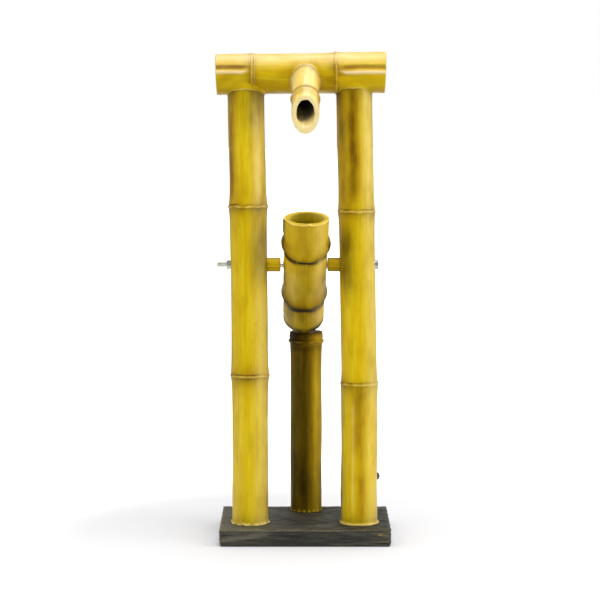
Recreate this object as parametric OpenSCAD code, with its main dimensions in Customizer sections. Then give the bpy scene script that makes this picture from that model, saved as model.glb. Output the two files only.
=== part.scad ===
// Tipping bamboo fountain: a cane frame on a slab, a spout in its crossbeam and a tube that fills and tips.
// Origin: middle of the slab's underside. +X right, +Y to the back, +Z up. Millimetres.

/* [Frame] */
// Distance of the two posts and the pivot from the slab's middle, along Y
post_row_y = -33.2; // [-38:0.2:-28]
// Height of the crossbeam's axis above the slab
beam_height = 553.6; // [530:0.2:580]
// Height of the pivot above the slab
pivot_height = 320.4; // [308:0.2:330]
// Height of a node's ridge along its cane
ring_height = 6.5; // [5:0.5:8]
// Flat crest of a node's ridge
ring_crest = 1.4; // [0.8:0.1:2]
// Thin gap filled with glue between pieces that are bonded
glue_gap = 0.15; // [0.1:0.05:0.2]

/* [Slab] */
// Width of the slab
slab_width = 210.4; // [204:0.2:230]
// Depth of the slab
slab_depth = 162.6; // [156:0.2:190]
// Thickness of the slab
slab_thickness = 21; // [18:0.5:28]
// Rounding of the slab's lower side edges
slab_side_round = 5; // [2:0.5:8]
// Rounding of the slab's upright corners
slab_corner_round = 2.5; // [1:0.5:6]

/* [Left post] */
// Place of the foot along X
left_foot_x = -67.8; // [-71:0.2:-65]
// Place of the upper node along X
left_bend_x = -69.6; // [-71:0.2:-67]
// Place of the top, on the crossbeam's axis, along X
left_top_x = -73; // [-75:0.2:-71]
// Height of the lower node above the slab
left_low_node = 184; // [170:1:200]
// Height of the upper node above the slab
left_high_node = 392; // [380:1:405]
// Diameter of the lowest internode
left_low_d = 44.2; // [43:0.2:46]
// Diameter of the middle internode
left_mid_d = 45.2; // [44:0.2:46]
// Diameter of the upper internode
left_high_d = 44.8; // [43:0.2:46]
// Diameter of the lower node's ridge
left_low_ring_d = 49; // [48:0.2:51]
// Diameter of the upper node's ridge
left_high_ring_d = 50; // [49:0.2:52]
// Swelling of the radius beside a node
left_swell = 1.3; // [0.5:0.1:1.6]

/* [Right post] */
// Place of the foot along X
right_foot_x = 66.8; // [65:0.2:69]
// Place of the upper node along X
right_bend_x = 62.9; // [61.5:0.2:65]
// Place of the top, on the crossbeam's axis, along X
right_top_x = 58.9; // [57.5:0.2:61]
// Height of the lower node above the slab
right_low_node = 174; // [160:1:190]
// Height of the upper node above the slab
right_high_node = 386; // [372:1:400]
// Diameter of the lowest internode
right_low_d = 44.8; // [44:0.2:46]
// Diameter of the middle internode
right_mid_d = 43.7; // [43:0.1:45.4]
// Diameter of the upper internode
right_high_d = 43.8; // [43:0.2:45.4]
// Diameter of the lower node's ridge
right_low_ring_d = 47.8; // [47:0.2:50]
// Diameter of the upper node's ridge
right_high_ring_d = 47.6; // [47:0.2:50]
// Swelling of the radius beside a node
right_swell = 0.7; // [0.3:0.1:1]

/* [Posts] */
// Length along a post over which the swelling beside a node dies away
post_swell_reach = 15; // [10:1:18]
// Diameter of the bore inside each post
post_bore_d = 32; // [31:0.5:33]
// Height of the solid foot of each post
post_foot_solid = 34; // [30:1:40]
// Solid stretch of each post under the crossbeam
post_top_solid = 16; // [12:1:24]
// Diameter of the tenon that holds each post in the crossbeam
tenon_d = 18; // [16:0.5:20]
// Length of that tenon inside the crossbeam
tenon_length = 10; // [8:1:12]

/* [Striker post] */
// Place of the striker post along X
striker_x = 1.5; // [0:0.5:3]
// Diameter of its cane
striker_d = 39.8; // [38:0.2:42]
// Diameter above its node
striker_cap_d = 42.6; // [41:0.2:44]
// Diameter of its node's ridge
striker_ring_d = 45.8; // [45:0.2:48]
// Height of the cane above its node
striker_cap_height = 12.4; // [10:0.2:16]
// Swelling of the radius under its node
striker_swell = 1.6; // [0.5:0.1:2]

/* [Crossbeam] */
// Length of the crossbeam
beam_length = 207.8; // [202:0.2:230]
// Distance of the crossbeam's left end from the slab's middle
beam_left_reach = 109; // [106:0.2:116]
// Upward slope of the crossbeam to the right, in degrees
beam_slope = 0.75; // [0:0.05:1.5]
// Distance of the left node from the slab's middle
beam_left_node = 64.7; // [60:0.1:72]
// Distance of the right node from the slab's middle
beam_right_node = 37.5; // [34:0.1:44]
// Diameter of the left internode
beam_left_d = 49.8; // [49:0.2:51.6]
// Diameter of the middle internode
beam_mid_d = 48.8; // [48:0.2:50]
// Diameter of the right internode
beam_right_d = 50.2; // [49:0.2:51.6]
// Diameter of the left node's ridge
beam_left_ring_d = 52.8; // [52:0.2:55]
// Diameter of the right node's ridge
beam_right_ring_d = 53.8; // [52:0.2:56]
// Swelling of the radius beside a node
beam_swell = 0.5; // [0.2:0.1:0.8]
// Rounding of the crossbeam's end edges
beam_edge = 1.2; // [0.6:0.2:2]
// Diameter of the hollow seen at each end
beam_hollow_d = 37; // [34:0.5:40]
// Depth of that hollow
beam_hollow_depth = 12; // [8:0.5:14]

/* [Spout] */
// Place of the spout along X
spout_x = 0.2; // [-2:0.2:2]
// Height of the spout's axis over the crossbeam's, where they pass
spout_rise = 6; // [5:0.2:7]
// Angle of the spout below the horizontal, in degrees
spout_dip = 40; // [36:0.5:44]
// Diameter of the spout
spout_d = 33.2; // [32:0.2:35]
// Diameter of its node's ridge
spout_ring_d = 36.6; // [36:0.2:39]
// Distance of its node along its axis
spout_node_at = 57.8; // [50:0.2:60]
// Distance of its cut end along its axis
spout_cut_at = 85.7; // [80:0.5:92]
// Angle of its cut from square, in degrees
spout_cut_angle = 44.2; // [35:0.2:48]
// Diameter of its bore
spout_bore_d = 21.8; // [20:0.2:23]
// Distance of the closed end of its bore along its axis
spout_bore_from = 36; // [34:0.5:44]
// Length of the spout's tenon inside the crossbeam
spout_tenon_length = 11; // [8:0.5:13]

/* [Tipping tube] */
// Place of the tube's middle along X
tube_x = 0.1; // [-1:0.1:2]
// Distance of the tube's axis below the pivot, square to the axis
tube_drop = 1.1; // [0:0.1:2]
// Skew of the cane on the pivot: the mouth leans to the right, in degrees
tube_skew = 1.1; // [0:0.1:1.6]
// Angle of the tube above the horizontal at rest, in degrees
tube_tilt = 40; // [37:0.5:43]
// Distance of the mouth from the pivot, on the tube's axis
mouth_at = 96.5; // [90:0.1:104]
// Angle of the mouth's cut from square, in degrees
mouth_cut_angle = 39.8; // [34:0.2:44]
// Distance of the tail's end from the pivot
tail_at = 110.7; // [100:0.1:114]
// Distance of the upper node from the pivot
tube_high_node = 46.2; // [42:0.1:52]
// Distance of the lower node from the pivot
tube_low_node = 55.6; // [48:0.1:58]
// Outer diameter at the mouth
mouth_d = 53.8; // [52.4:0.2:55]
// Outer diameter beside the pivot
waist_d = 52.8; // [51.6:0.2:54]
// Outer diameter of the tail
tail_d = 51.8; // [50.6:0.2:53]
// Diameter of the upper node's ridge
tube_high_ring_d = 59.3; // [58:0.1:60]
// Diameter of the lower node's ridge
tube_low_ring_d = 57.8; // [56.6:0.1:59]
// Swelling of the radius on the mouth's side of a node
tube_swell = 1.9; // [1:0.1:2.2]
// Length over which that swelling dies away
tube_swell_reach = 7; // [5:0.5:9]
// Height of a node's ridge on the tube
tube_ring_height = 4.4; // [3.6:0.2:6]
// Inner diameter of the cup
cup_d = 43.2; // [42:0.2:45]
// Distance of the cup's floor from the pivot
cup_floor_at = 11; // [9:0.5:16]
// Rounding of the cup's floor
cup_round = 6; // [2:0.5:9]
// Inner diameter of the tail
tail_bore_d = 40; // [38:0.2:42]
// Rounding of the tail's end edge
tail_edge = 1.6; // [0.8:0.2:2.4]
// Thickness of the plug in the tail
plug_thickness = 7; // [5:0.5:10]
// Depth of the plug's face inside the tail's end
plug_recess = 2.5; // [1:0.5:4]
// Diameter of the counterweight
weight_d = 28; // [22:0.5:34]
// Thickness of the counterweight
weight_thickness = 4; // [3:0.5:6]
// Distance of the tail's corner inside the striker post's edge
tail_bearing = 2.7; // [1.8:0.1:4]
// Gap between the tail and the striker post at rest
rest_gap = 0.3; // [0.2:0.05:0.5]

/* [Pivot] */
// Diameter of the pivot bolt
bolt_d = 6; // [5:0.5:6]
// Running clearance between the bolt and the sleeve, on the radius
running_gap = 0.05; // [0.02:0.01:0.09]
// Outer diameter of the pivot sleeve
sleeve_d = 10; // [9:0.5:12]
// Stand of the sleeve out of the tube at each side
sleeve_stand = 0.6; // [0.4:0.1:1]
// Clearance round the bolt in the posts and spacers, on the radius
bolt_hole_gap = 0.3; // [0.2:0.05:0.5]
// Width across flats of the bolt's head and the nut
hex_width = 10; // [9.5:0.5:11]
// Height of the bolt's head
head_height = 4; // [3.5:0.1:5]
// Height of the nut
nut_height = 5; // [4:0.1:6]
// Reach of the bolt past the nut
bolt_reach = 11.3; // [6:0.1:14]
// Diameter of each washer
washer_d = 12; // [11.5:0.5:13]
// Thickness of each washer
washer_thickness = 1; // [0.8:0.1:1.4]
// Depth of the flat that each washer sits on
washer_flat_depth = 1; // [0.9:0.1:1.4]
// Outer diameter of each spacer
spacer_d = 17; // [15:0.5:19]
// Gap between the tube and the right spacer
thrust_gap = 0.3; // [0.2:0.05:0.6]
// Free play between the tube and the left spacer
left_play = 3.2; // [2:0.2:6]

/* [Water line] */
// Outer diameter of the hoses
hose_d = 10; // [9:0.2:10]
// Inner diameter of the hoses
hose_bore_d = 7; // [6.4:0.1:7.4]
// Diameter of the inlet's stub
inlet_d = 10.6; // [10:0.1:10.8]
// Height of the inlet above the slab
inlet_height = 52; // [48:1:70]
// Angle of the inlet from straight back to the right, in degrees
inlet_turn = 30; // [20:1:40]
// Reach of the inlet's stub out of the post
inlet_reach = 22; // [18:0.5:26]
// Distance of the riser from the post's middle at the inlet
inlet_inset = 9.6; // [9.2:0.1:10]
// Diameter of the inlet's collar
collar_d = 15; // [13:0.5:17]
// Thickness of the inlet's collar
collar_thickness = 2.5; // [2:0.5:3]
// Bore of the elbows
elbow_bore_d = 5; // [4.4:0.1:5.4]
// Bend radius of the elbows
elbow_bend = 5.6; // [5.5:0.1:6]
// Straight stretch of an elbow's body past its bend
elbow_body = 3; // [2:0.5:4]
// Length of an elbow's tail inside a hose
elbow_tail = 8; // [6:0.5:10]
// Distance by which the riser passes behind the bolt
riser_offset = 9.2; // [9:0.1:9.6]
// Height over the pivot up to which the riser keeps that distance
riser_keep = 30; // [20:1:40]
// Clearance round the hoses in the crossbeam, on the radius
channel_gap = 0.6; // [0.4:0.05:0.8]

/* [Screws] */
// Diameter of the screws in the slab
screw_d = 4.2; // [3.6:0.1:4.6]
// Length of the screws under their heads
screw_length = 38; // [30:1:42]
// Diameter of the screw heads
screw_head_d = 8; // [7:0.2:8.6]
// Height of the screw heads
screw_head_height = 3; // [2.4:0.1:3.6]
// Diameter of the recess for each screw head
recess_d = 11.5; // [10.8:0.1:13]
// Depth of that recess
recess_depth = 7; // [6:0.5:9]
// Diameter of the washers under the screw heads
screw_washer_d = 10; // [9:0.2:10.4]
// Distance of each screw from its post's middle
screw_spread = 10; // [8:0.5:12]

/* [Hidden] */
$fn = 72;
// Overrun of cuts past a face
over = 2;
// Shares of the swelling's reach at which a cane's outline has points
swell_shares = [0, 0.35, 0.8, 1.5, 2.8];
// Depth by which a node's ridge starts inside the cane
ring_sink = 1;
// Half the gap between two internodes, inside their node's ridge
node_split = 1;
// Gap round the threads of bolt, nut and screws
thread_gap = 0.05;
// Gap round the elbows' tails inside the hoses
tail_gap = 0.05;
// Sides of the riser hose and of its elbows' tails
hose_sides = 16;
// Rings along the riser hose
hose_rings = 22;
// Steps of the rounding in the cup
round_steps = 6;

pivot_z = slab_thickness + pivot_height;
beam_z = slab_thickness + beam_height;
left_x = [left_foot_x, left_foot_x, left_bend_x, left_top_x];
left_z = [0, left_low_node, left_high_node, beam_height];
left_d = [left_low_d, left_mid_d, left_high_d];
left_ring_d = [left_low_ring_d, left_high_ring_d];
right_x = [right_foot_x, right_foot_x, right_bend_x, right_top_x];
right_z = [0, right_low_node, right_high_node, beam_height];
right_d = [right_low_d, right_mid_d, right_high_d];
right_ring_d = [right_low_ring_d, right_high_ring_d];
left_pivot_x = left_foot_x
    + (left_bend_x - left_foot_x) * (pivot_height - left_low_node) / (left_high_node - left_low_node);
right_pivot_x = right_foot_x
    + (right_bend_x - right_foot_x) * (pivot_height - right_low_node) / (right_high_node - right_low_node);
left_flat_x = left_pivot_x - left_mid_d / 2 + washer_flat_depth;
right_flat_x = right_pivot_x + right_mid_d / 2 - washer_flat_depth;
sleeve_half = waist_d / 2 + sleeve_stand;
right_spacer_x = tube_x + sleeve_half + thrust_gap;
left_spacer_x = tube_x - sleeve_half - left_play;

// The tail's lowest corner, measured from the pivot
tail_under = tail_d / 2 + tube_drop;
tail_corner_y = tail_at * cos(tube_tilt) - (tail_under - tail_edge) * sin(tube_tilt);
tail_corner_z = tail_at * sin(tube_tilt) + (tail_under - tail_edge) * cos(tube_tilt);
tail_low_z = (tail_at - tail_edge) * sin(tube_tilt) + tail_under * cos(tube_tilt);
striker_y = post_row_y + tail_corner_y + striker_cap_d / 2 - tail_bearing;
striker_height = pivot_height - max(tail_low_z, tail_corner_z) - rest_gap;

channel_r = hose_d / 2 + channel_gap;
channel_z = beam_z + spout_rise;
elbow_tail_r = hose_bore_d / 2 * cos(180 / hose_sides) - tail_gap;
riser_low_z = inlet_height + elbow_bend + elbow_body;
riser_high_z = beam_height + spout_rise - elbow_bend - elbow_body;
spout_face_at = sqrt(pow(beam_mid_d / 2, 2) - pow(spout_rise * cos(spout_dip), 2)) + spout_rise * sin(spout_dip);
spout_tenon_from = spout_face_at - spout_tenon_length;

cane_colour = "goldenrod";
inner_colour = "darkgoldenrod";
metal_colour = "silver";

// Outline points of one internode from z = start to z = end, swelling by low and high at its ends
function internode_side(start, end, r, low, high, reach) = concat(
    [for (s = swell_shares) [r + low * exp(-s), start + s * reach]],
    [for (k = [1 : len(swell_shares)])
        let (s = swell_shares[len(swell_shares) - k]) [r + high * exp(-s), end - s * reach]]);

// Outline of a straight cane: stops are the heights of its ends and nodes, lows and highs the
// swellings above and under each node, and ease the rounding of its last edge
function cane_outline(stops, radii, rings, lows, highs, reach, half, ease, grow) =
    let (last = len(radii) - 1)
    [[0, stops[0]],
     each [for (i = [0 : last])
        let (a = stops[i] + (i == 0 ? ease : half), b = stops[i + 1] - (i == last ? ease : half),
             side = internode_side(a, b, radii[i] + grow, lows[i], highs[i],
                min(reach, (b - a) / (2 * swell_shares[len(swell_shares) - 1] + 1))))
        each concat(
            i == 0 && ease > 0 ? [[side[0][0] - ease, stops[0]]] : [],
            side,
            i < last
                ? [[rings[i] + grow, stops[i + 1] - ring_crest / 2], [rings[i] + grow, stops[i + 1] + ring_crest / 2]]
                : ease > 0 ? [[side[len(side) - 1][0] - ease, stops[i + 1]]] : [])],
     [0, stops[len(stops) - 1]]];

// Lower end of the frame's joints: everything above stands on the slab
module on_slab() {
    translate([0, post_row_y, slab_thickness]) children();
}

// A shape built along Z, laid along X through the pivot
module on_pivot(x) {
    translate([x, post_row_y, pivot_z]) rotate([0, 90, 0]) children();
}

// A post of three internodes that bends a little at each node
module bent_cane(xs, zs, ds, ring_ds, swell, grow = 0) {
    for (i = [0 : 2]) {
        lean = atan2(xs[i + 1] - xs[i], zs[i + 1] - zs[i]);
        run = norm([xs[i + 1] - xs[i], zs[i + 1] - zs[i]]);
        a = i == 0 ? 0 : node_split;
        b = i == 2 ? run : run - node_split;
        translate([xs[i], 0, zs[i]]) rotate([0, lean, 0]) rotate_extrude()
            polygon([[0, a],
                each internode_side(a, b, ds[i] / 2 + grow, i == 0 ? 0 : swell, i == 2 ? 0 : swell, post_swell_reach),
                [0, b]]);
    }
    for (i = [0 : 1])
        translate([xs[i + 1], 0, zs[i + 1]])
            rotate([0, atan2(xs[i + 2] - xs[i], zs[i + 2] - zs[i]), 0])
                ring(ds[i] / 2 + swell + grow, ds[i + 1] / 2 + swell + grow, ring_ds[i] / 2 + grow);
}

// The ridge of a node between radii under and top
module ring(under, top, crest) {
    rotate_extrude() polygon([
        [0, -ring_height / 2], [under - ring_sink, -ring_height / 2],
        [crest, -ring_crest / 2], [crest, ring_crest / 2],
        [top - ring_sink, ring_height / 2], [0, ring_height / 2]]);
}

module left_cane(grow = 0) {
    on_slab() bent_cane(left_x, left_z, left_d, left_ring_d, left_swell, grow);
}

module right_cane(grow = 0) {
    on_slab() bent_cane(right_x, right_z, right_d, right_ring_d, right_swell, grow);
}

// Tenon on a post's top, up to the given length inside the crossbeam
module post_tenon(x, gap) {
    foot = beam_height - beam_mid_d / 2 - post_top_solid / 2;
    translate([x, 0, foot])
        cylinder(d = tenon_d + 2 * gap, h = post_top_solid / 2 + tenon_length + (gap > 0 ? glue_gap : 0));
}

// Bore of a post, straight from over its foot to under the crossbeam
module post_bore(xs) {
    lean = atan2(xs[3] - xs[0], beam_height);
    top = (beam_height - beam_mid_d / 2 - post_top_solid) / cos(lean);
    translate([xs[0], 0, 0]) rotate([0, lean, 0])
        translate([0, 0, post_foot_solid]) cylinder(d = post_bore_d, h = top - post_foot_solid);
}

// Holes for a post's foot screws
module foot_holes(x, y) {
    for (side = [-1, 1])
        translate([x, y + side * screw_spread, slab_thickness - over])
            cylinder(d = screw_d + 2 * thread_gap, h = screw_length - slab_thickness + recess_depth + 2 * over);
}

// Hole across a post for the bolt, with a flat for the washer on its outer side
module bolt_way(post_x, flat_x, side, post_d) {
    on_pivot(post_x - post_d) cylinder(d = bolt_d + 2 * bolt_hole_gap, h = 2 * post_d);
    on_pivot(side > 0 ? flat_x : flat_x - post_d) cylinder(d = washer_d + 2 * bolt_hole_gap, h = post_d);
}

module base_slab() {
    color("#3b3932") difference() {
        intersection() {
            translate([0, slab_depth / 2, 0]) rotate([90, 0, 0]) linear_extrude(slab_depth) slab_front();
            linear_extrude(slab_thickness) slab_plan();
        }
        each_screw() {
            translate([0, 0, -over]) cylinder(d = recess_d, h = recess_depth + over);
            cylinder(d = screw_d + 2 * bolt_hole_gap, h = slab_thickness + over);
        }
    }
}

// Front view of the slab, its lower corners rounded
module slab_front() {
    half = slab_width / 2;
    steps = [0 : 90 / round_steps : 90];
    polygon([
        [half, slab_thickness],
        [-half, slab_thickness],
        for (a = steps) [-half + slab_side_round * (1 - cos(a)), slab_side_round * (1 - sin(a))],
        for (a = steps) [half - slab_side_round * (1 - sin(a)), slab_side_round * (1 - cos(a))]]);
}

// Plan of the slab, its corners rounded
module slab_plan() {
    inner = [slab_width - 2 * slab_corner_round, slab_depth - 2 * slab_corner_round];
    square([slab_width, inner[1]], center = true);
    square([inner[0], slab_depth], center = true);
    for (x = [-1, 1], y = [-1, 1])
        translate([x * inner[0] / 2, y * inner[1] / 2]) circle(slab_corner_round);
}

// Each screw's place under the slab
module each_screw() {
    for (post = [[left_foot_x, post_row_y], [right_foot_x, post_row_y], [striker_x, striker_y]], side = [-1, 1])
        translate([post[0], post[1] + side * screw_spread, 0]) children();
}

module left_post() {
    color(cane_colour) {
        difference() {
            left_cane();
            beam_cane(glue_gap);
            on_slab() post_bore(left_x);
            foot_holes(left_foot_x, post_row_y);
            bolt_way(left_pivot_x, left_flat_x, -1, left_mid_d);
        }
        on_slab() post_tenon(left_top_x, 0);
    }
}

module right_post() {
    color(cane_colour) difference() {
        union() {
            difference() {
                right_cane();
                beam_cane(glue_gap);
                on_slab() post_bore(right_x);
            }
            on_slab() post_tenon(right_top_x, 0);
        }
        foot_holes(right_foot_x, post_row_y);
        bolt_way(right_pivot_x, right_flat_x, 1, right_mid_d);
        riser_way();
        at_inlet() rotate([0, 90, 0]) cylinder(d = inlet_d + 2 * glue_gap, h = right_low_d);
    }
}

module striker_post() {
    color("peru") difference() {
        translate([striker_x, striker_y, slab_thickness]) rotate_extrude() polygon(cane_outline(
            [0, striker_height - striker_cap_height, striker_height],
            [striker_d / 2, striker_cap_d / 2], [striker_ring_d / 2],
            [0, 0], [striker_swell, 0], post_swell_reach, ring_height / 2, 0, 0));
        foot_holes(striker_x, striker_y);
    }
}

// The crossbeam's frame: its axis lies along Z, from its left end
module along_beam() {
    translate([0, post_row_y, beam_z]) rotate([0, 90 - beam_slope, 0]) translate([0, 0, -beam_left_reach]) children();
}

module beam_cane(grow = 0) {
    along_beam() rotate_extrude() polygon(cane_outline(
        [0, beam_left_reach - beam_left_node, beam_left_reach + beam_right_node, beam_length],
        [beam_left_d / 2, beam_mid_d / 2, beam_right_d / 2],
        [beam_left_ring_d / 2, beam_right_ring_d / 2],
        [0, beam_swell, beam_swell], [beam_swell, beam_swell, 0],
        post_swell_reach, ring_height / 2, beam_edge, grow));
}

module crossbeam() {
    color(cane_colour) difference() {
        beam_cane();
        along_beam() {
            translate([0, 0, -over]) cylinder(d = beam_hollow_d, h = beam_hollow_depth + over);
            translate([0, 0, beam_length - beam_hollow_depth]) cylinder(d = beam_hollow_d, h = beam_hollow_depth + over);
        }
        on_slab() {
            post_tenon(left_top_x, glue_gap);
            post_tenon(right_top_x, glue_gap);
        }
        riser_way();
        translate([spout_x - channel_r, post_row_y, channel_z]) rotate([0, 90, 0])
            cylinder(r = channel_r, h = right_top_x - spout_x + 2 * channel_r);
        on_spout() {
            cylinder(r = channel_r, h = spout_face_at);
            translate([0, 0, spout_tenon_from - glue_gap]) cylinder(d = tenon_d + 2 * glue_gap, h = beam_mid_d / 2);
        }
    }
}

// Upright way of the riser and its elbow through the post's top and into the crossbeam
module riser_way() {
    on_slab() translate([right_top_x, 0, beam_height - beam_mid_d / 2 - post_top_solid - over])
        cylinder(r = channel_r, h = beam_mid_d / 2 + post_top_solid + over + spout_rise + channel_r);
}

// The spout's frame: its axis lies along Z, from its passing point over the crossbeam's axis
module on_spout() {
    translate([spout_x, post_row_y, channel_z]) rotate([90 + spout_dip, 0, 0]) children();
}

// Removes everything past a plane across the axis, tilted by angle
module oblique_cut(at, angle, size) {
    translate([0, 0, at]) rotate([-angle, 0, 0]) translate([-size, -size, 0]) cube(2 * size);
}

module spout() {
    color(cane_colour) difference() {
        union() {
            difference() {
                on_spout() rotate_extrude() polygon(cane_outline(
                    [0, spout_node_at, spout_cut_at + spout_d],
                    [spout_d / 2, spout_d / 2], [spout_ring_d / 2],
                    [0, 0], [0, 0], post_swell_reach, ring_height / 2, 0, 0));
                beam_cane(glue_gap);
            }
            on_spout() translate([0, 0, spout_tenon_from]) cylinder(d = tenon_d, h = spout_bore_from - spout_tenon_from);
        }
        on_spout() {
            oblique_cut(spout_cut_at, spout_cut_angle, 2 * spout_d);
            translate([0, 0, spout_bore_from]) cylinder(d = spout_bore_d, h = spout_cut_at + spout_d);
            cylinder(r = elbow_tail_r + 2 * tail_gap, h = spout_bore_from + over);
        }
    }
}

// Spacer tube on the bolt, coped to the post beside it
module spacer(from_x, length) {
    on_pivot(from_x) difference() {
        cylinder(d = spacer_d, h = length);
        translate([0, 0, -over]) cylinder(d = bolt_d + 2 * bolt_hole_gap, h = length + 2 * over);
    }
}

module left_spacer() {
    color(cane_colour) difference() {
        spacer(left_pivot_x, left_spacer_x - left_pivot_x);
        left_cane(glue_gap);
    }
}

module right_spacer() {
    color(cane_colour) difference() {
        spacer(right_spacer_x, right_pivot_x - right_spacer_x);
        right_cane(glue_gap);
    }
}

module hex_bar(width, height) {
    cylinder(d = width / cos(30), h = height, $fn = 6);
}

module pivot_bolt() {
    head_x = right_flat_x + washer_thickness;
    end_x = left_flat_x - washer_thickness - nut_height - bolt_reach;
    color(metal_colour) {
        on_pivot(head_x) hex_bar(hex_width, head_height);
        on_pivot(end_x) cylinder(d = bolt_d, h = head_x - end_x + head_height / 2);
    }
}

module pivot_nut() {
    color(metal_colour) on_pivot(left_flat_x - washer_thickness - nut_height) difference() {
        hex_bar(hex_width, nut_height);
        translate([0, 0, -over]) cylinder(d = bolt_d + 2 * thread_gap, h = nut_height + 2 * over);
    }
}

module washer(outer, bore) {
    difference() {
        cylinder(d = outer, h = washer_thickness);
        translate([0, 0, -over]) cylinder(d = bore, h = washer_thickness + 2 * over);
    }
}

module pivot_washers() {
    color(metal_colour) for (x = [left_flat_x - washer_thickness, right_flat_x])
        on_pivot(x) washer(washer_d, bolt_d + 2 * bolt_hole_gap);
}

// The tipping tube's frame at the pivot: Z points to the mouth and X along the pivot bolt
module on_tube() {
    translate([tube_x, post_row_y, pivot_z]) rotate([90 - tube_tilt, 0, 0]) children();
}

// The cane's own frame: Z is its axis, dropped below the pivot and skewed a little
module on_cane() {
    on_tube() translate([0, -tube_drop, 0]) rotate([0, tube_skew, 0]) children();
}

module tipping_tube() {
    color(cane_colour) difference() {
        on_cane() rotate_extrude() polygon(cane_outline(
            [-tail_at, -tube_low_node, tube_high_node, mouth_at + mouth_d],
            [tail_d / 2, waist_d / 2, mouth_d / 2],
            [tube_low_ring_d / 2, tube_high_ring_d / 2],
            [0, tube_swell, tube_swell], [0, 0, 0],
            tube_swell_reach, tube_ring_height / 2, tail_edge, 0));
        on_tube() translate([0, -tube_drop, 0]) oblique_cut(mouth_at, mouth_cut_angle, 2 * mouth_d);
        on_cane() cup_space();
        on_cane() translate([0, 0, -tail_at - over])
            cylinder(d = tail_bore_d, h = tail_at - cup_floor_at + over);
        on_tube() translate([-waist_d, 0, 0]) rotate([0, 90, 0])
            cylinder(d = sleeve_d + 2 * thread_gap, h = 2 * waist_d);
    }
}

// Space inside the cup, with a rounded floor
module cup_space() {
    r = cup_d / 2;
    rotate_extrude() polygon([
        [0, cup_floor_at],
        for (a = [0 : 90 / round_steps : 90])
            [r - cup_round * (1 - sin(a)), cup_floor_at + cup_round * (1 - cos(a))],
        [r, mouth_at + 2 * mouth_d],
        [0, mouth_at + 2 * mouth_d]]);
}

module pivot_sleeve() {
    color("burlywood") on_pivot(tube_x - sleeve_half) difference() {
        cylinder(d = sleeve_d, h = 2 * sleeve_half);
        translate([0, 0, -over]) cylinder(d = bolt_d + 2 * running_gap, h = 2 * (sleeve_half + over));
    }
}

module tail_plug() {
    color(inner_colour) on_cane() translate([0, 0, plug_recess - tail_at])
        cylinder(d = tail_bore_d - 2 * glue_gap, h = plug_thickness);
}

module counterweight() {
    color("dimgray") on_cane() translate([0, 0, plug_recess + plug_thickness - tail_at])
        cylinder(d = weight_d, h = weight_thickness);
}

// A quarter bend in the XZ plane, from the X leg to the Z leg
module bend(r) {
    translate([elbow_bend, 0, elbow_bend]) rotate([90, 180, 0])
        rotate_extrude(angle = 90) translate([elbow_bend, 0]) circle(r);
}

// An elbow with legs along X and Z: body and tail are the reach of each leg's thick and thin part
module elbow(r_x, body_x, tail_x, body_z, tail_z) {
    difference() {
        union() {
            bend(r_x);
            translate([elbow_bend, 0, 0]) rotate([0, 90, 0]) {
                cylinder(r = r_x, h = body_x - elbow_bend);
                cylinder(r = elbow_tail_r, h = tail_x - elbow_bend);
            }
            translate([0, 0, elbow_bend]) {
                cylinder(r = r_x, h = body_z - elbow_bend);
                cylinder(r = elbow_tail_r, h = tail_z - elbow_bend);
            }
        }
        bend(elbow_bore_d / 2);
        translate([elbow_bend, 0, 0]) rotate([0, 90, 0]) cylinder(d = elbow_bore_d, h = tail_x + over);
        translate([0, 0, elbow_bend]) cylinder(d = elbow_bore_d, h = tail_z + over);
    }
}

// The inlet's frame: X points out of the post, level with the inlet
module at_inlet() {
    on_slab() translate([right_foot_x, 0, inlet_height]) rotate([0, 0, 90 - inlet_turn]) children();
}

module inlet_elbow() {
    body = elbow_bend + elbow_body;
    stub = right_low_d / 2 + inlet_reach - inlet_inset;
    color("#4a4742") at_inlet() {
        translate([inlet_inset, 0, 0]) elbow(inlet_d / 2, stub, stub, body, body + elbow_tail);
        translate([right_low_d / 2 + glue_gap, 0, 0]) rotate([0, 90, 0]) difference() {
            cylinder(d = collar_d, h = collar_thickness);
            translate([0, 0, -over]) cylinder(d = (inlet_d + elbow_bore_d) / 2, h = collar_thickness + 2 * over);
        }
    }
}

// Smooth change from 0 to 1
function ease(t) = t * t * (3 - 2 * t);

// Share of the way from a to b that z has gone, held at both ends
function way(z, a, b) = ease(min(1, max(0, (z - a) / (b - a))));

// Middle of the riser hose at height z above the slab: it leaves the inlet's tail upright, passes behind
// the bolt and is upright again where it enters the post's solid top
function riser_point(z) =
    let (turn = pivot_height + riser_keep,
         low = [right_foot_x + inlet_inset * sin(inlet_turn), inlet_inset * cos(inlet_turn)],
         mid = [right_foot_x + (right_top_x - right_foot_x) * turn / beam_height, riser_offset],
         high = [right_top_x, 0],
         xy = z < turn
            ? low + (mid - low) * way(z, riser_low_z + elbow_tail, turn)
            : mid + (high - mid) * way(z, turn, beam_height - beam_mid_d / 2 - post_top_solid - hose_d / 2))
    [xy[0], xy[1], z];

// A hose swept along upright points: an outer and an inner wall joined at both ends
module swept_hose(path) {
    n = hose_sides;
    last = len(path) - 1;
    walls = [for (r = [hose_d / 2, hose_bore_d / 2], p = path, k = [0 : n - 1])
        p + [r * cos(360 * k / n), r * sin(360 * k / n), 0]];
    inner = n * len(path);
    faces = [for (i = [0 : last - 1], k = [0 : n - 1])
            let (a = i * n + k, b = i * n + (k + 1) % n)
            each [[a, a + n, b], [b, a + n, b + n], [inner + a, inner + b, inner + a + n], [inner + b, inner + b + n, inner + a + n]],
        for (k = [0 : n - 1])
            let (a = k, b = (k + 1) % n, c = last * n + k, d = last * n + (k + 1) % n)
            each [[a, b, inner + a], [b, inner + b, inner + a], [c, inner + c, d], [d, inner + c, inner + d]]];
    polyhedron(walls, faces);
}

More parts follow.
